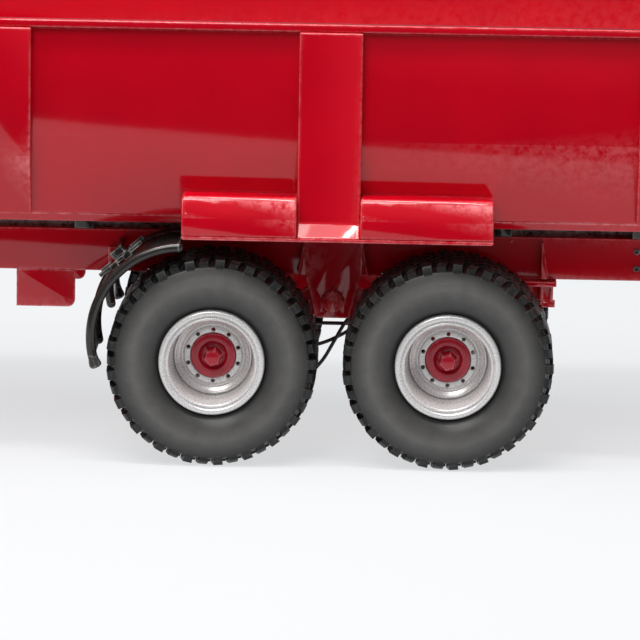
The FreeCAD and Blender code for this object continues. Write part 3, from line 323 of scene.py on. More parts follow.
def make_tyre_rubber(bead, crown, tread_start, tread_end):
    """Moulded rubber by distance from the axle: a pale band round the sidewall's crown that is a painted
    sheen, and dark on the tread.
    """
    colour = bpy.context.scene.paint.rubber
    material, shader, tree, place = start_material("tyre_rubber")
    split = add_node(tree, "ShaderNodeSeparateXYZ", Vector=place)
    flat = add_node(tree, "ShaderNodeCombineXYZ", X=split.outputs["X"], Z=split.outputs["Z"])
    radius = add_node(tree, "ShaderNodeVectorMath", {"operation": "LENGTH"})
    tree.links.new(flat.outputs[0], radius.inputs[0])
    outward = radius.outputs["Value"]
    dust = ramp(tree, grain(tree, place, 240.0, 6.0, 0.7), 0.35, 0.7)
    plain = blend_colours(tree, dust, rgba(colour, 0.35), rgba(colour, 0.6))
    # The pale band at the sidewall's crown is a painted sheen where the bulge catches the light, mottled with
    # dust.
    dust_and_sheen = blend_colours(tree, dust, rgba(colour, 3.8), rgba(colour, 5.0))
    inner = ramp(tree, outward, bead, crown)
    outer = ramp(tree, outward, crown, tread_end, 1.0, 0.0)
    sidewall = blend_colours(tree, product(tree, inner, outer), plain, dust_and_sheen)
    tread = ramp(tree, outward, tread_start, tread_end)
    tint = blend_colours(tree, tread, sidewall, rgba(colour, 0.5))
    # Lighter block edges: a painted highlight along the tread's edges, with some wear.
    lighter_edges = product(tree, edge_mask(tree, 0.2 * MM), ramp(tree, grain(tree, place, 800.0), 0.35, 0.6))
    tint = blend_colours(tree, product(tree, lighter_edges, 0.6), tint, rgba(colour, 5.5))
    tree.links.new(tint, shader.inputs["Base Color"])
    tree.links.new(ramp(tree, dust, 0.0, 1.0, 0.34, 0.44), shader.inputs["Roughness"])
    shader.inputs["Specular IOR Level"].default_value = 0.36
    finish_bump(tree, shader, grain(tree, place, 1500.0, 5.0, 0.7), 0.22, 0.08 * MM)
    return material


def make_bare_steel():
    """Turned and drawn steel with fine lines."""
    material, shader, tree, place = start_material("bare_steel")
    stretched = add_node(tree, "ShaderNodeMapping", Vector=place, Scale=(1.0, 1.0, 14.0)).outputs[0]
    lines = grain(tree, stretched, 500.0, 5.0, 0.7)
    tint = blend_colours(tree, ramp(tree, lines, 0.3, 0.7), (0.36, 0.36, 0.37, 1.0), (0.62, 0.62, 0.63, 1.0))
    tree.links.new(tint, shader.inputs["Base Color"])
    shader.inputs["Metallic"].default_value = 1.0
    tree.links.new(ramp(tree, lines, 0.3, 0.7, 0.24, 0.42), shader.inputs["Roughness"])
    finish_bump(tree, shader, lines, 0.12, 0.05 * MM)
    return material


def make_galvanised_grey():
    """Grey galvanised metal on the floor and the spreading parts."""
    material, shader, tree, place = start_material("galvanised_grey")
    spangle = add_node(tree, "ShaderNodeTexVoronoi", Vector=place, Scale=900.0).outputs["Color"]
    tone = add_node(tree, "ShaderNodeSeparateColor", Color=spangle).outputs[0]
    tint = blend_colours(tree, tone, (0.27, 0.28, 0.29, 1.0), (0.42, 0.43, 0.44, 1.0))
    lighter_edges = product(tree, edge_mask(tree, 0.2 * MM), ramp(tree, grain(tree, place, 700.0), 0.4, 0.6))
    tint = blend_colours(tree, lighter_edges, tint, (0.62, 0.62, 0.62, 1.0))
    tree.links.new(tint, shader.inputs["Base Color"])
    shader.inputs["Metallic"].default_value = 0.75
    tree.links.new(ramp(tree, tone, 0.0, 1.0, 0.32, 0.5), shader.inputs["Roughness"])
    finish_bump(tree, shader, grain(tree, place, 900.0, 4.0), 0.1, 0.06 * MM)
    return material


def make_hose_rubber():
    """Soft black hose rubber with a faint sheen."""
    material, shader, tree, place = start_material("hose_rubber")
    tone = ramp(tree, grain(tree, place, 420.0, 5.0), 0.35, 0.7)
    tint = blend_colours(tree, tone, (0.014, 0.013, 0.013, 1.0), (0.034, 0.032, 0.031, 1.0))
    tree.links.new(tint, shader.inputs["Base Color"])
    tree.links.new(ramp(tree, tone, 0.0, 1.0, 0.3, 0.46), shader.inputs["Roughness"])
    finish_bump(tree, shader, grain(tree, place, 1800.0, 3.0), 0.12, 0.05 * MM)
    return material


def make_lamp_lens():
    """Red lens plastic with moulded ribs."""
    material, shader, tree, place = start_material("lamp_lens")
    wave = add_node(tree, "ShaderNodeTexWave", {"bands_direction": "Y"}, Vector=place, Scale=420.0)
    ribs = wave.outputs["Fac"]
    tint = blend_colours(tree, ribs, (0.36, 0.006, 0.006, 1.0), (0.62, 0.02, 0.016, 1.0))
    tree.links.new(tint, shader.inputs["Base Color"])
    shader.inputs["Roughness"].default_value = 0.08
    shader.inputs["Coat Weight"].default_value = 0.5
    finish_bump(tree, shader, ribs, 0.35, 0.12 * MM)
    return material


def make_floor_paper():
    """Matt pale acrylic with a light behind it."""
    colour = bpy.context.scene.studio.floor_colour
    material, shader, tree, place = start_material("floor_paper")
    tone = ramp(tree, grain(tree, place, 90.0, 4.0), 0.35, 0.65)
    tint = blend_colours(tree, tone, rgba(colour, 0.99), rgba(colour, 1.0))
    tree.links.new(tint, shader.inputs["Base Color"])
    shader.inputs["Roughness"].default_value = 0.75
    shader.inputs["Specular IOR Level"].default_value = 0.2
    shader.inputs["Emission Color"].default_value = (0.97, 0.985, 1.0, 1.0)
    shader.inputs["Emission Strength"].default_value = 0.66
    return material


def shared_material(maker):
    """The material that a make_ function makes under its own name, made once."""
    name = maker.__name__.removeprefix("make_")
    return bpy.data.materials.get(name) or maker()


# ---------------------------------------------------------------- mesh helpers

def finish_node(name, material, edge, segments=2, merge_flat=True):
    """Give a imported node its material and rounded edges, with its flat faces merged first if asked."""
    merge_distance = 0.01 * MM
    flat_angle = math.radians(0.6)
    edge_angle = math.radians(32)
    piece = nodes_by_name[name]
    piece.data.materials.clear()
    piece.data.materials.append(material)
    piece.data.shade_smooth()
    weld = piece.modifiers.new("weld", "WELD")
    weld.merge_threshold = merge_distance
    if merge_flat:
        flat = piece.modifiers.new("flat faces", "DECIMATE")
        flat.decimate_type = "DISSOLVE"
        flat.angle_limit = flat_angle
    if edge > 0:
        bevel = piece.modifiers.new("rounded edges", "BEVEL")
        bevel.width = edge
        bevel.segments = segments
        bevel.limit_method = "ANGLE"
        bevel.angle_limit = edge_angle
        bevel.harden_normals = True
        bevel.miter_outer = "MITER_ARC"
    smooth_by_angle(piece)


def smooth_by_angle(piece):
    """Keep real corners sharp in the shading."""
    corner_angle = math.radians(38)
    split = piece.modifiers.new("sharp corners", "EDGE_SPLIT")
    split.split_angle = corner_angle
    split.use_edge_sharp = False


def new_piece(name, mesh, material, body, place=Matrix.Identity(4)):
    """An object from mesh data, riding on a body."""
    mesh.materials.clear()
    mesh.materials.append(material)
    piece = bpy.data.objects.new(name, mesh)
    bpy.context.scene.collection.objects.link(piece)
    piece.matrix_world = place
    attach(piece, body)
    return piece


def mesh_from(name, build):
    """Mesh data filled by a function that draws into a bmesh."""
    bm = bmesh.new()
    build(bm)
    bmesh.ops.recalc_face_normals(bm, faces=bm.faces)
    mesh = bpy.data.meshes.new(name)
    bm.to_mesh(mesh)
    bm.free()
    mesh.shade_smooth()
    return mesh


def rounded_outline(corners, radius, steps=3):
    """A closed outline with each corner cut to a short curve, no longer than its runs allow."""
    longest_share = 0.45
    rounded = []
    count = len(corners)
    for index in range(count):
        before = Vector(corners[index - 1])
        corner = Vector(corners[index])
        after = Vector(corners[(index + 1) % count])
        back = before - corner
        ahead = after - corner
        reach = min(radius, back.length * longest_share, ahead.length * longest_share)
        start = corner + back.normalized() * reach
        end = corner + ahead.normalized() * reach
        for step in range(steps + 1):
            share = step / steps
            rounded.append(start.lerp(corner, share).lerp(corner.lerp(end, share), share))
    return rounded


def lathe(bm, outline, segments):
    """A closed (radius, y) outline turned about the Y axis."""
    rings = []
    for index in range(segments):
        angle = 2 * math.pi * index / segments
        rings.append([bm.verts.new((r * math.cos(angle), y, r * math.sin(angle))) for r, y in outline])
    count = len(outline)
    for index in range(segments):
        ring = rings[index]
        following = rings[(index + 1) % segments]
        for point in range(count):
            beyond = (point + 1) % count
            bm.faces.new((ring[point], ring[beyond], following[beyond], following[point]))


def close_rings(bm, rings):
    """Faces over both ends of a row of rings, and between each ring and the next."""
    count = len(rings[0])
    bm.faces.new(rings[0])
    bm.faces.new(list(reversed(rings[-1])))
    for first, second in zip(rings, rings[1:]):
        for index in range(count):
            beyond = (index + 1) % count
            bm.faces.new((first[index], second[index], second[beyond], first[beyond]))


def wheel_block(bm, angle, side_angle, stations):
    """A tapered block on a wheel. Stations are (y, inner radius, outer radius, turn) across it."""
    top_share = 0.86
    sections = []
    for y, inner, outer, turn in stations:
        section = []
        for share, radius in ((-1, inner), (-top_share, outer), (top_share, outer), (1, inner)):
            at = angle + turn + side_angle * share
            section.append(bm.verts.new((radius * math.cos(at), y, radius * math.sin(at))))
        sections.append(section)
    close_rings(bm, sections)


def hexagon_post(bm, base, axis, levels):
    """Hexagonal levels of (distance along the axis, corner radius), closed at both ends."""
    direction = Vector(axis).normalized()
    side = direction.orthogonal().normalized()
    other = direction.cross(side)
    angles = [math.pi * index / 3 for index in range(6)]
    rings = []
    for along, radius in levels:
        centre = Vector(base) + direction * along
        rings.append([bm.verts.new(centre + (side * math.cos(angle) + other * math.sin(angle)) * radius)
                      for angle in angles])
    close_rings(bm, rings)


def bolt(bm, place, axis, size):
    """A hexagon bolt head on a washer, standing on a surface."""
    sink = 0.1 * MM
    washer = [(-sink, size * 1.25), (size * 0.22, size * 1.2)]
    head = [(-sink, size), (size * 0.75, size), (size * 0.9, size * 0.78)]
    hexagon_post(bm, place, axis, washer)
    hexagon_post(bm, place, axis, head)


def dome(bm, place, axis, radius):
    """A low round rivet head."""
    direction = Vector(axis).normalized()
    turn = Vector((0, 0, 1)).rotation_difference(direction).to_matrix().to_4x4()
    flatness = 0.6
    flatten = Matrix.Diagonal((1, 1, flatness, 1))
    bmesh.ops.create_icosphere(bm, subdivisions=2, radius=radius,
                               matrix=Matrix.Translation(place) @ turn @ flatten)


# ---------------------------------------------------------------- wheels

WHEELS = [(end, side) for end in ("front", "rear") for side in ("left", "right")]


def wheel_place(end, side):
    """Where a wheel's own axes stand: the middle of the tyre's inner face, with +Y outwards."""
    low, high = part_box(f"{end}_{side}_tyre")
    middle = (low + high) / 2
    if side == "right":
        return Matrix.Translation((middle.x, low.y, middle.z))
    return Matrix.Translation((middle.x, high.y, middle.z)) @ Matrix.Rotation(math.pi, 4, "Z")


def each_wheel(kind, mesh, material):
    """A piece on every wheel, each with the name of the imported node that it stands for."""
    for end, side in WHEELS:
        body = f"wheel_{end}_{side}"
        piece = new_piece(f"{kind}_{end}_{side}", mesh, material, body, wheel_place(end, side))
        smooth_by_angle(piece)
        yield piece, f"{end}_{side}_{kind}"


def tyre_sizes():
    """Outer radius and width of a tyre, from the frame."""
    low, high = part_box("front_left_tyre")
    return (high.z - low.z) / 2, high.y - low.y


def rim_sizes():
    """Outer radius of a rim and how far its edge is in from the tyre's face."""
    low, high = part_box("front_left_rim")
    tyre_low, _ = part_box("front_left_tyre")
    return (high.z - low.z) / 2, low.y - tyre_low.y


def tyre_outline(outer, width, bead_radius, lug):
    """Half-section of the carcass as (radius, y), shoulders cut back for the tread blocks."""
    face_in = 1.2 * MM
    wall_top = outer - 1.9 * MM
    pocket_in = 2.5 * MM
    floor = outer - lug
    half = [
        (bead_radius, width / 2), (bead_radius, 2.4 * MM), (bead_radius + 0.4 * MM, 1.9 * MM),
        (bead_radius + 1.2 * MM, 1.15 * MM), (bead_radius + 2.4 * MM, 0.45 * MM),
        (bead_radius + 3.8 * MM, 0.08 * MM), (bead_radius + 4.9 * MM, 0.0),
        (bead_radius + 6.2 * MM, 0.2 * MM), (bead_radius + 7.3 * MM, 0.6 * MM), (wall_top, face_in),
        (wall_top + 0.25 * MM, face_in + 0.35 * MM), (wall_top + 0.35 * MM, pocket_in),
        (floor - 0.25 * MM, pocket_in + 0.6 * MM), (floor, pocket_in + 1.6 * MM), (floor, width / 2),
    ]
    far = [(r, width - y) for r, y in reversed(half[1:-1])]
    return half + far


def draw_tyre(bm):
    """A carcass with shoulder tabs, blocks in the pockets between them and rows of small blocks."""
    wheel = bpy.context.scene.wheel
    outer, width = tyre_sizes()
    bead_radius, _ = rim_sizes()
    rounding = 0.5 * MM
    segments = 168
    outline = tyre_outline(outer, width, bead_radius, wheel.lug_height)
    lathe(bm, rounded_outline(outline, rounding, 2), segments)
    pitch = 2 * math.pi / wheel.shoulder_tabs
    tab_half = wheel.tab_width / 2 / outer
    root = outer - 2.9 * MM
    for near in (True, False):
        def across(depth):
            return depth if near else width - depth
        offset = 0 if near else pitch / 2
        for index in range(wheel.shoulder_tabs):
            angle = pitch * index + offset
            tab = [
                (across(1.1 * MM), root, outer - 0.95 * MM, 0.0),
                (across(1.5 * MM), root, outer - 0.22 * MM, 0.0),
                (across(2.5 * MM), root, outer, 0.0),
                (across(4.9 * MM), root, outer - 0.05 * MM, pitch * 0.1),
            ]
            wheel_block(bm, angle, tab_half, tab)
            block = [
                (across(1.7 * MM), root, outer - 0.8 * MM, -pitch * 0.03),
                (across(2.4 * MM), root, outer - 0.2 * MM, pitch * 0.02),
                (across(4.4 * MM), root, outer - 0.1 * MM, pitch * 0.12),
            ]
            wheel_block(bm, angle + pitch * 0.49, tab_half * 0.95, block)
    first_row = 5.3 * MM
    row_gap = 0.12 * MM
    block_top = outer - 0.1 * MM
    row_step = (width - 2 * first_row) / wheel.tread_rows
    blocks_round = wheel.shoulder_tabs * 2
    for row in range(wheel.tread_rows):
        lean = math.tan(wheel.tread_slant) * (1 if row % 2 else -1)
        start = first_row + row_step * row + row_gap
        end = first_row + row_step * (row + 1) - row_gap
        turn = lean * (end - start) / outer
        for index in range(blocks_round):
            angle = pitch / 2 * (index + 0.5 * (row % 2))
            wheel_block(bm, angle, tab_half * 1.2, [
                (start, root, block_top, -turn / 2),
                (end, root, block_top, turn / 2),
            ])


def rim_outline(radius, inset, width):
    """Section of a rim as (radius, y): a rounded lip, a groove, a barrel and a deep ringed disc."""
    face = width - inset
    back_end = inset
    disc_back = 9.8 * MM
    sheet = 0.9 * MM
    depths = [
        (radius, 0.55), (radius - 0.2 * MM, 0.1), (radius - 0.65 * MM, 0.0), (radius - 1.1 * MM, 0.1),
        (radius - 1.3 * MM, 0.5), (radius - 1.45 * MM, 0.55), (radius - 1.6 * MM, 0.25),
        (radius - 2.0 * MM, 0.3), (radius - 2.3 * MM, 1.2), (radius - 2.5 * MM, 4.0),
        (radius - 2.65 * MM, 8.1), (radius - 2.85 * MM, 8.35), (8.0 * MM, 7.75), (7.65 * MM, 7.75),
        (7.45 * MM, 8.0), (6.65 * MM, 8.45), (6.5 * MM, 8.85), (6.1 * MM, 8.85), (5.95 * MM, 8.5),
        (4.7 * MM, 8.5),
    ]
    front = [(r, face - depth * MM) for r, depth in depths]
    back = [
        (4.7 * MM, face - disc_back), (radius - 2.6 * MM, face - disc_back),
        (radius - sheet, face - disc_back - 1.2 * MM), (radius - sheet, back_end), (radius, back_end),
    ]
    return front + back


def draw_rim(bm):
    """A rim without its holes."""
    rounding = 0.22 * MM
    segments = 144
    radius, inset = rim_sizes()
    _, width = tyre_sizes()
    lathe(bm, rounded_outline(rim_outline(radius, inset, width), rounding, 3), segments)


def draw_rim_drills(bm):
    """Plugs where the rim's holes go."""
    wheel = bpy.context.scene.wheel
    _, inset = rim_sizes()
    _, width = tyre_sizes()
    disc_depth = 9.0 * MM
    plug_length = 4 * MM
    disc_y = width - inset - disc_depth
    lengthwise = Matrix.Rotation(math.pi / 2, 4, "X")
    for index in range(wheel.rim_holes):
        angle = 2 * math.pi * (index + 0.5) / wheel.rim_holes
        place = (wheel.rim_hole_circle * math.cos(angle), disc_y, wheel.rim_hole_circle * math.sin(angle))
        bmesh.ops.create_cone(
            bm, cap_ends=True, segments=20, radius1=wheel.rim_hole_radius, radius2=wheel.rim_hole_radius,
            depth=plug_length, matrix=Matrix.Translation(place) @ lengthwise)


def drilled_rim_mesh():
    """The rim with its ring of holes cut through the disc."""
    rim = bpy.data.objects.new("rim_blank", mesh_from("rim_blank", draw_rim))
    drills = bpy.data.objects.new("rim_drills", mesh_from("rim_drills", draw_rim_drills))
    for helper in (rim, drills):
        bpy.context.scene.collection.objects.link(helper)
    cut = rim.modifiers.new("holes", "BOOLEAN")
    cut.operation = "DIFFERENCE"
    cut.solver = "EXACT"
    cut.object = drills
    evaluated = rim.evaluated_get(bpy.context.evaluated_depsgraph_get())
    mesh = bpy.data.meshes.new_from_object(evaluated)
    mesh.name = "wheel_rim"
    for helper in (rim, drills):
        bpy.data.objects.remove(helper)
    return mesh


def draw_hub(bm):
    """A ringed hub face with a tapered hexagon cap in a conical recess."""
    _, inset = rim_sizes()
    _, width = tyre_sizes()
    face = width - inset
    radius = 4.66 * MM
    profile = [
        (radius, 9.7), (radius, 8.35), (radius - 0.2 * MM, 8.15), (3.05 * MM, 8.1), (2.85 * MM, 8.3),
        (2.4 * MM, 8.95), (0.35 * MM, 8.95), (0.35 * MM, 9.7),
    ]
    lathe(bm, rounded_outline([(r, face - depth * MM) for r, depth in profile], 0.12 * MM, 2), 96)
    cap_base = (0, face - 9.2 * MM, 0)
    levels = [
        (0, 2.1 * MM), (1.4 * MM, 2.0 * MM), (3.9 * MM, 1.75 * MM), (4.2 * MM, 1.5 * MM),
        (4.3 * MM, 1.1 * MM),
    ]
    hexagon_post(bm, cap_base, (0, 1, 0), levels)


# ---------------------------------------------------------------- operators

class SPREADER_OT_tyres(bpy.types.Operator):
    """Moulded tyres with block tread on all four wheels"""
    bl_idname = "spreader.tyres"
    bl_label = "Tyres"

    def execute(self, context):
        outer, _ = tyre_sizes()
        bead, _ = rim_sizes()
        crown = (bead + outer) / 2
        rubber = make_tyre_rubber(bead, crown, outer - 2.2 * MM, outer - 1.4 * MM)
        mesh = mesh_from("tyre", draw_tyre)
        for piece, node_name in each_wheel("tyre", mesh, rubber):
            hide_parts(node_name)
        return {"FINISHED"}


class SPREADER_OT_rims(bpy.types.Operator):
    """Pressed rims with a ring of holes"""
    bl_idname = "spreader.rims"
    bl_label = "Rims"

    def execute(self, context):
        silver = make_silver_paint()
        mesh = drilled_rim_mesh()
        for piece, node_name in each_wheel("rim", mesh, silver):
            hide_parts(node_name)
        return {"FINISHED"}


class SPREADER_OT_hubs(bpy.types.Operator):
    """Red hubs with hexagon caps"""
    bl_idname = "spreader.hubs"
    bl_label = "Hubs"

    def execute(self, context):
        red = make_hub_red()
        mesh = mesh_from("hub", draw_hub)
        for piece, node_name in each_wheel("hub", mesh, red):
            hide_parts(node_name)
        return {"FINISHED"}


class SPREADER_OT_hull(bpy.types.Operator):
    """Hull, fenders, posts and lips in red enamel"""
    bl_idname = "spreader.hull"
    bl_label = "Hull"

    def execute(self, context):
        red = shared_material(make_body_red_enamel)
        edges = context.scene.edges
        for name in ("hull_shell", "hull_rim"):
            finish_node(name, red, edges.body, 3)
        finish_node("hull_posts", red, edges.body * 1.2, 3)
        finish_node("fender_boxes", red, edges.body * 1.5, 3)
        for name in ("fender_lips", "hull_sills"):
            finish_node(name, red, edges.small * 1.6)
        finish_node("headboard", red, edges.small, merge_flat=False)
        black = shared_material(make_black_enamel)
        finish_node("hull_bearers", black, edges.frame)
        finish_node("ladder", black, edges.small, merge_flat=False)
        # A black strip in each gap under the hull's sill stands for the shade there.
        strip_mesh = mesh_from("gap_shade_strips", draw_packing_strips)
        strips = new_piece("gap_shade_strips", strip_mesh, black, "chassis")
        return {"FINISHED"}


class SPREADER_OT_floor(bpy.types.Operator):
    """Scraper floor inside the hull"""
    bl_idname = "spreader.floor"
    bl_label = "Scraper floor"

    def execute(self, context):
        edges = context.scene.edges
        finish_node("floor_chains", shared_material(make_bare_steel), edges.small)
        finish_node("floor_slats", shared_material(make_galvanised_grey), edges.small)
        return {"FINISHED"}


class SPREADER_OT_chassis(bpy.types.Operator):
    """Rails, brackets and cross members"""
    bl_idname = "spreader.chassis"
    bl_label = "Chassis"

    def execute(self, context):
        red = shared_material(make_body_red_enamel)
        edges = context.scene.edges
        for name in ("chassis_rails", "cross_members", "rail_gussets", "pivot_brackets", "gearbox",
                     "disc_beam"):
            finish_node(name, red, edges.frame)
        finish_node("rail_brackets", red, edges.small)
        finish_node("pivot_pins", red, edges.small)
        return {"FINISHED"}


class SPREADER_OT_guards(bpy.types.Operator):
    """Mudguards over the front wheels, with their clamps"""
    bl_idname = "spreader.guards"
    bl_label = "Mudguards"

    def execute(self, context):
        black = shared_material(make_black_enamel)
        finish_node("mudguards", black, 0)
        finish_node("guard_clamps", black, context.scene.edges.small)
        ends = new_piece("guard_ends", mesh_from("guard_ends", draw_guard_ends), black, "chassis")
        clips = new_piece("guard_clips", mesh_from("guard_clips", draw_guard_clips), black, "chassis")
        smooth_by_angle(clips)
        return {"FINISHED"}


class SPREADER_OT_bogie(bpy.types.Operator):
    """Rockers, axles, brake gear and hoses"""
    bl_idname = "spreader.bogie"
    bl_label = "Bogie"

    def execute(self, context):
        edges = context.scene.edges
        finish_node("bogie_rockers", shared_material(make_body_red_enamel), edges.frame)
        black = shared_material(make_black_enamel)
        for name in ("bogie_axles", "brake_gear"):
            finish_node(name, black, edges.small)
        rubber = shared_material(make_hose_rubber)
        for name in ("brake_rods", "brake_hoses"):
            finish_node(name, rubber, 0)
        return {"FINISHED"}


class SPREADER_OT_drawbar(bpy.types.Operator):
    """Drawbar, towing ring, parking jack and drive shaft"""
    bl_idname = "spreader.drawbar"
    bl_label = "Drawbar"

    def execute(self, context):
        edges = context.scene.edges
        red = shared_material(make_body_red_enamel)
        steel = shared_material(make_bare_steel)
        finish_node("drawbar", red, edges.frame)
        finish_node("jack_housing", red, edges.small)
        for name in ("hitch_eye", "jack_leg", "jack_foot", "drive_shaft"):
            finish_node(name, steel, edges.small)
        return {"FINISHED"}


class SPREADER_OT_gate(bpy.types.Operator):
    """Metering gate with its guides and lift cylinders"""
    bl_idname = "spreader.gate"
    bl_label = "Gate"

    def execute(self, context):
        edges = context.scene.edges
        red = shared_material(make_body_red_enamel)
        for name in ("gate", "gate_guides"):
            finish_node(name, red, edges.small)
        finish_node("gate_barrels", shared_material(make_black_enamel), edges.small)
        finish_node("gate_rods", shared_material(make_bare_steel), 0)
        return {"FINISHED"}


class SPREADER_OT_spreading(bpy.types.Operator):
    """Walls, beaters, discs, hood and light bar at the rear"""
    bl_idname = "spreader.spreading"
    bl_label = "Spreading unit"

    def execute(self, context):
        edges = context.scene.edges
        red = shared_material(make_body_red_enamel)
        black = shared_material(make_black_enamel)
        grey = shared_material(make_galvanised_grey)
        for name in ("spreader_walls", "rear_hood"):
            finish_node(name, red, edges.frame)
        for name in ("beater_lower", "beater_lower_blades", "beater_upper", "beater_upper_blades",
                     "disc_left", "disc_right"):
            finish_node(name, grey, edges.small)
        for name in ("beater_bearings", "hood_pins", "bumper_bar"):
            finish_node(name, black, edges.small)
        finish_node("tail_lamps", make_lamp_lens(), edges.frame)
        return {"FINISHED"}


class SPREADER_OT_fasteners(bpy.types.Operator):
    """Bolts, rivets and pivot caps"""
    bl_idname = "spreader.fasteners"
    bl_label = "Fasteners"

    def execute(self, context):
        red = shared_material(make_body_red_enamel)
        black = shared_material(make_black_enamel)
        rivets = new_piece("fender_rivets", mesh_from("fender_rivets", draw_fender_rivets), red, "chassis")
        caps = new_piece("pivot_caps", mesh_from("pivot_caps", draw_pivot_caps), red, "chassis")
        smooth_by_angle(caps)
        bolts = new_piece("frame_bolts", mesh_from("frame_bolts", draw_frame_bolts), black, "chassis")
        smooth_by_angle(bolts)
        return {"FINISHED"}


def guard_arc():
    """Centre, radius and end angles of the mudguards' arc, seen from the side."""
    guard = bpy.context.scene.guard
    low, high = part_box("front_left_tyre")
    centre = Vector(((low.x + high.x) / 2 - guard.forward, 0, (low.z + high.z) / 2 + guard.rise))
    return centre, guard.radius, guard.start, guard.start + guard.sweep


def guard_bead_ys():
    """How far out the middles of a guard's two beads are."""
    overhang = 0.2 * MM
    _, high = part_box("mudguards")
    tyre_low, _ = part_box("front_right_tyre")
    bead = bpy.context.scene.guard.bead_radius
    return tyre_low.y - overhang + bead, high.y - bead


def draw_guard_ends(bm):
    """Round ends that close the guards' rolled beads."""
    centre, radius, start, end = guard_arc()
    bead = bpy.context.scene.guard.bead_radius
    inside_bead = 0.98
    for side in (-1, 1):
        for y in guard_bead_ys():
            for angle in (start, end):
                place = centre + Vector((math.cos(angle) * radius, side * y, math.sin(angle) * radius))
                bmesh.ops.create_icosphere(bm, subdivisions=3, radius=bead * inside_bead,
                                           matrix=Matrix.Translation(place))


def draw_guard_clips(bm):
    """A flared, folded clip at the foot of each guard's outer bead."""
    centre, radius, _, end = guard_arc()
    bead = bpy.context.scene.guard.bead_radius
    _, y = guard_bead_ys()
    sections = ((-0.5, 1.02), (0.4, 1.12), (1.1, 1.3), (1.7, 1.38), (2.1, 1.2), (2.35, 0.8))
    sides = 20
    fold_depth = 0.16
    inward = 0.15 * MM
    across = Vector((0, 1, 0))
    for side in (-1, 1):
        rings = []
        for along, flare in sections:
            angle = end + along * MM / radius
            outward = Vector((math.cos(angle), 0, math.sin(angle)))
            middle = centre + Vector((outward.x * radius, side * (y - inward * along), outward.z * radius))
            half_width = min(bead * flare, bead)
            ring = []
            for index in range(sides):
                turn = 2 * math.pi * index / sides
                fold = 1 - fold_depth * max(0.0, math.cos(3 * turn))
                offset = outward * math.cos(turn) * flare * bead + across * math.sin(turn) * half_width
                ring.append(bm.verts.new(middle + offset * fold))
            rings.append(ring)
        close_rings(bm, rings)


def draw_fender_rivets(bm):
    """Small rivets on the fenders beside the wide post and at their far ends, and one on each rail."""
    post_to_bogie = -0.7 * MM
    beside_post = 7.1 * MM
    end_gap = 0.9 * MM
    sink = 0.35 * MM
    rise = 4.6 * MM
    rivet_radius = 0.3 * MM
    rail_rivet_radius = 0.35 * MM
    rail_rivet_reach = 37.6 * MM
    rail_rivet_drop = 0.9 * MM
    low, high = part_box("fender_boxes")
    bracket_low, bracket_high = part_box("pivot_brackets")
    _, rail_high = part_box("chassis_rails")
    middle = (bracket_low.x + bracket_high.x) / 2 + post_to_bogie
    places = (middle - beside_post, middle + beside_post, high.x - end_gap, low.x + end_gap)
    rail_x = middle + rail_rivet_reach
    for side in (-1, 1):
        for x in places:
            dome(bm, (x, side * (high.y - sink), low.z + rise), (0, side, 0), rivet_radius)
        dome(bm, (rail_x, side * rail_high.y, rail_high.z - rail_rivet_drop), (0, side, 0),
             rail_rivet_radius)


def draw_packing_strips(bm):
    """A dark strip along each rail in the gap under the hull's sill: painted shade, a black sheet where the
    gap lies in shadow.
    """
    thickness = 0.8 * MM
    inset = 2.5 * MM
    end_gap = 1 * MM
    _, rail_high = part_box("chassis_rails")
    sill_low, sill_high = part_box("hull_sills")
    shell_low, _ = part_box("hull_shell")
    size = (sill_high.x - sill_low.x - 2 * end_gap, thickness, shell_low.z - rail_high.z)
    middle = (sill_low + sill_high) / 2
    for side in (-1, 1):
        place = (middle.x, side * (rail_high.y - inset), (shell_low.z + rail_high.z) / 2)
        stretch = Matrix.Diagonal((*size, 1.0))
        bmesh.ops.create_cube(bm, size=1.0, matrix=Matrix.Translation(place) @ stretch)


def draw_pivot_caps(bm):
    """A diamond plate with a round boss over each bogie pivot."""
    size = 2.6 * MM
    sink = 0.05 * MM
    boss_rise = 0.6 * MM
    outline = [(0, size), (size, 0), (0, -size), (-size, 0)]
    levels = ((0.0, 1.0), (0.45 * MM, 1.0), (0.65 * MM, 0.85))
    boss = [(0, 0.95 * MM), (0.5 * MM, 0.95 * MM), (0.62 * MM, 0.7 * MM)]
    low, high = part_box("pivot_pins")
    middle = (low + high) / 2
    for side in (-1, 1):
        y = side * (high.y - sink)
        rings = []
        for along, share in levels:
            rings.append([bm.verts.new((middle.x + x * share, y + side * along, middle.z + z * share))
                          for x, z in outline])
        close_rings(bm, rings)
        hexagon_post(bm, (middle.x, y + side * boss_rise, middle.z), (0, side, 0), boss)


def draw_frame_bolts(bm):
    """Hexagon bolts at both ends of the rails."""
    edge_gap = 2.6 * MM
    bolt_size = 0.6 * MM
    rail_low, rail_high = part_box("chassis_rails")
    xs = (rail_high.x - 6 * MM, rail_high.x - 9 * MM, rail_low.x + 5 * MM, rail_low.x + 8 * MM)
    for side in (-1, 1):
        rail_y = side * rail_high.y
        for x in xs:
            for z in (rail_low.z + edge_gap, rail_high.z - edge_gap):
                bolt(bm, (x, rail_y, z), (0, side, 0), bolt_size)


class SPREADER_OT_studio(bpy.types.Operator):
    """Pale floor, softboxes and the camera"""
    bl_idname = "spreader.studio"
    bl_label = "Studio"

    def execute(self, context):
        make_floor()
        make_lights()
        make_surroundings()
        make_camera()
        return {"FINISHED"}


def make_floor():
    """A flat sheet of pale acrylic under and behind the model."""
    front = -0.2
    back = 1.2
    half_width = 1.6

    def draw(bm):
        corners = ((-half_width, front), (half_width, front), (half_width, back), (-half_width, back))
        bm.faces.new([bm.verts.new((x, y, 0.0)) for x, y in corners])

    mesh = mesh_from("studio_floor", draw)
    mesh.materials.append(make_floor_paper())
    floor = bpy.data.objects.new("studio_floor", mesh)
    bpy.context.scene.collection.objects.link(floor)


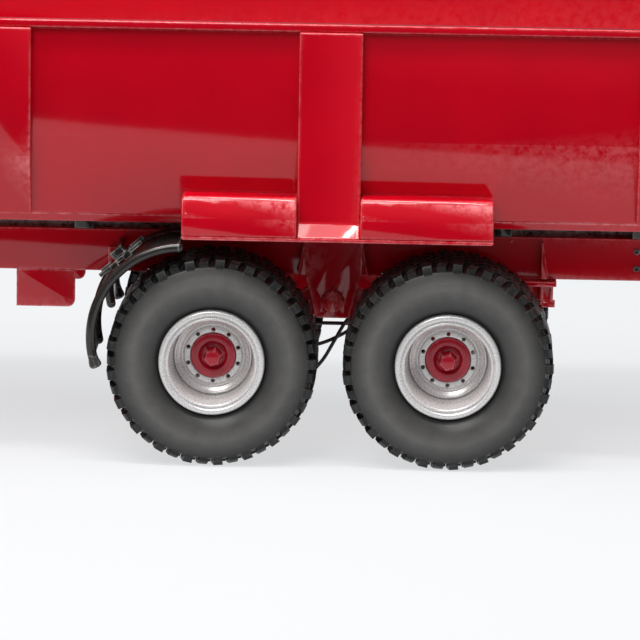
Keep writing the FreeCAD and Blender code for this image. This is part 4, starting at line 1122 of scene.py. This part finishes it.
def make_softbox(name, place, aim, size, power):
    """A square light that faces a point."""
    lamp = bpy.data.lights.new(name, "AREA")
    lamp.size = size
    lamp.energy = power
    lamp.color = (1.0, 0.995, 0.985)
    light = bpy.data.objects.new(name, lamp)
    light.location = place
    light.rotation_euler = (Vector(aim) - Vector(place)).to_track_quat("-Z", "Y").to_euler()
    bpy.context.scene.collection.objects.link(light)
    return light


def make_lights():
    """An overhead softbox, a bright narrow lamp that draws lines along the edges, and a front light."""
    studio = bpy.context.scene.studio
    aim = (0.0, 0.0, 0.04)
    overhead_place = (-0.1, -0.13, 0.56)
    overhead_size = 0.46
    strip_place = (-0.02, -0.15, 0.58)
    strip_length = 0.5
    strip_width = 0.035
    front_place = (-0.3, -0.85, 0.95)
    front_size = 0.5
    make_softbox("overhead_softbox", overhead_place, aim, overhead_size, studio.softbox_power)
    strip = make_softbox("edge_strip", strip_place, aim, strip_length, studio.strip_power)
    strip.data.shape = "RECTANGLE"
    strip.data.size_y = strip_width
    make_softbox("front_softbox", front_place, aim, front_size, studio.fill_power)


def make_surroundings():
    """A dim room for the reflections; seen directly it is about as pale as the floor."""
    world = bpy.data.worlds.new("studio_room")
    world.use_nodes = True
    bpy.context.scene.world = world
    tree = world.node_tree
    tree.nodes.clear()
    path = tree.nodes.new("ShaderNodeLightPath")
    direction = tree.nodes.new("ShaderNodeTexCoord").outputs["Generated"]
    height = add_node(tree, "ShaderNodeSeparateXYZ", Vector=direction).outputs["Z"]
    rise = ramp(tree, height, -0.1, 0.7, 0.03, 0.42)
    room = add_node(tree, "ShaderNodeBackground", Color=(0.9, 0.95, 1.0, 1.0), Strength=rise)
    backdrop = add_node(tree, "ShaderNodeBackground", Color=(0.79, 0.83, 0.85, 1.0), Strength=1.0)
    mix = tree.nodes.new("ShaderNodeMixShader")
    tree.links.new(path.outputs["Is Camera Ray"], mix.inputs[0])
    tree.links.new(room.outputs[0], mix.inputs[1])
    tree.links.new(backdrop.outputs[0], mix.inputs[2])
    output = tree.nodes.new("ShaderNodeOutputWorld")
    tree.links.new(mix.outputs[0], output.inputs[0])
    bpy.context.scene.view_settings.view_transform = "Standard"


def make_camera():
    """The camera, low and almost square to the model's left side."""
    ahead_of_pivot = 2.1 * MM
    inside_tyre = 0.9 * MM
    height = 31.2 * MM
    studio = bpy.context.scene.studio
    pivot_low, pivot_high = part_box("pivot_brackets")
    tyre_low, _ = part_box("front_left_tyre")
    pivot_x = (pivot_low.x + pivot_high.x) / 2
    target = Vector((pivot_x - ahead_of_pivot, tyre_low.y + inside_tyre, height))
    turn, rise = studio.azimuth, studio.elevation
    back = Vector((math.sin(turn) * math.cos(rise), -math.cos(turn) * math.cos(rise), math.sin(rise)))
    right = Vector((math.cos(turn), math.sin(turn), 0))
    up = back.cross(right)
    across = right * math.cos(studio.roll) + up * math.sin(studio.roll)
    upward = up * math.cos(studio.roll) - right * math.sin(studio.roll)
    place = Matrix((across, upward, back)).transposed().to_4x4()
    place.translation = target + back * studio.distance
    view = bpy.data.cameras.new("studio_camera")
    view.sensor_width = 36
    view.lens = studio.lens
    view.clip_end = 20
    camera = bpy.data.objects.new("studio_camera", view)
    camera.matrix_world = place
    bpy.context.scene.collection.objects.link(camera)
    bpy.context.scene.camera = camera


# ---------------------------------------------------------------- add-on

OPERATORS = (
    SPREADER_OT_studio, SPREADER_OT_tyres, SPREADER_OT_rims, SPREADER_OT_hubs, SPREADER_OT_hull,
    SPREADER_OT_floor, SPREADER_OT_chassis, SPREADER_OT_guards, SPREADER_OT_bogie, SPREADER_OT_drawbar,
    SPREADER_OT_gate, SPREADER_OT_spreading, SPREADER_OT_fasteners,
)
SETTINGS = {
    "paint": PaintSettings, "wheel": WheelSettings, "edges": EdgeSettings, "guard": GuardSettings,
    "studio": StudioSettings,
}


class SPREADER_PT_panel(bpy.types.Panel):
    """The spreader's tools"""
    bl_idname = "SPREADER_PT_panel"
    bl_label = "Spreader"
    bl_space_type = "VIEW_3D"
    bl_region_type = "UI"
    bl_category = "Spreader"

    def draw(self, context):
        for operator in OPERATORS:
            self.layout.operator(operator.bl_idname)
        for name, group in SETTINGS.items():
            box = self.layout.box()
            box.label(text=name.capitalize())
            for key in group.__annotations__:
                box.prop(getattr(context.scene, name), key)


def register():
    """Register the settings, the operators and the panel."""
    for name, group in SETTINGS.items():
        bpy.utils.register_class(group)
        setattr(bpy.types.Scene, name, PointerProperty(type=group))
    for operator in OPERATORS:
        bpy.utils.register_class(operator)
    bpy.utils.register_class(SPREADER_PT_panel)


def unregister():
    """Take them away again."""
    bpy.utils.unregister_class(SPREADER_PT_panel)
    for operator in reversed(OPERATORS):
        bpy.utils.unregister_class(operator)
    for name, group in SETTINGS.items():
        delattr(bpy.types.Scene, name)
        bpy.utils.unregister_class(group)


def main():
    """Build every piece."""
    register()
    for operator in OPERATORS:
        group, name = operator.bl_idname.split(".")
        getattr(getattr(bpy.ops, group), name)()


if __name__ == "__main__":
    main()
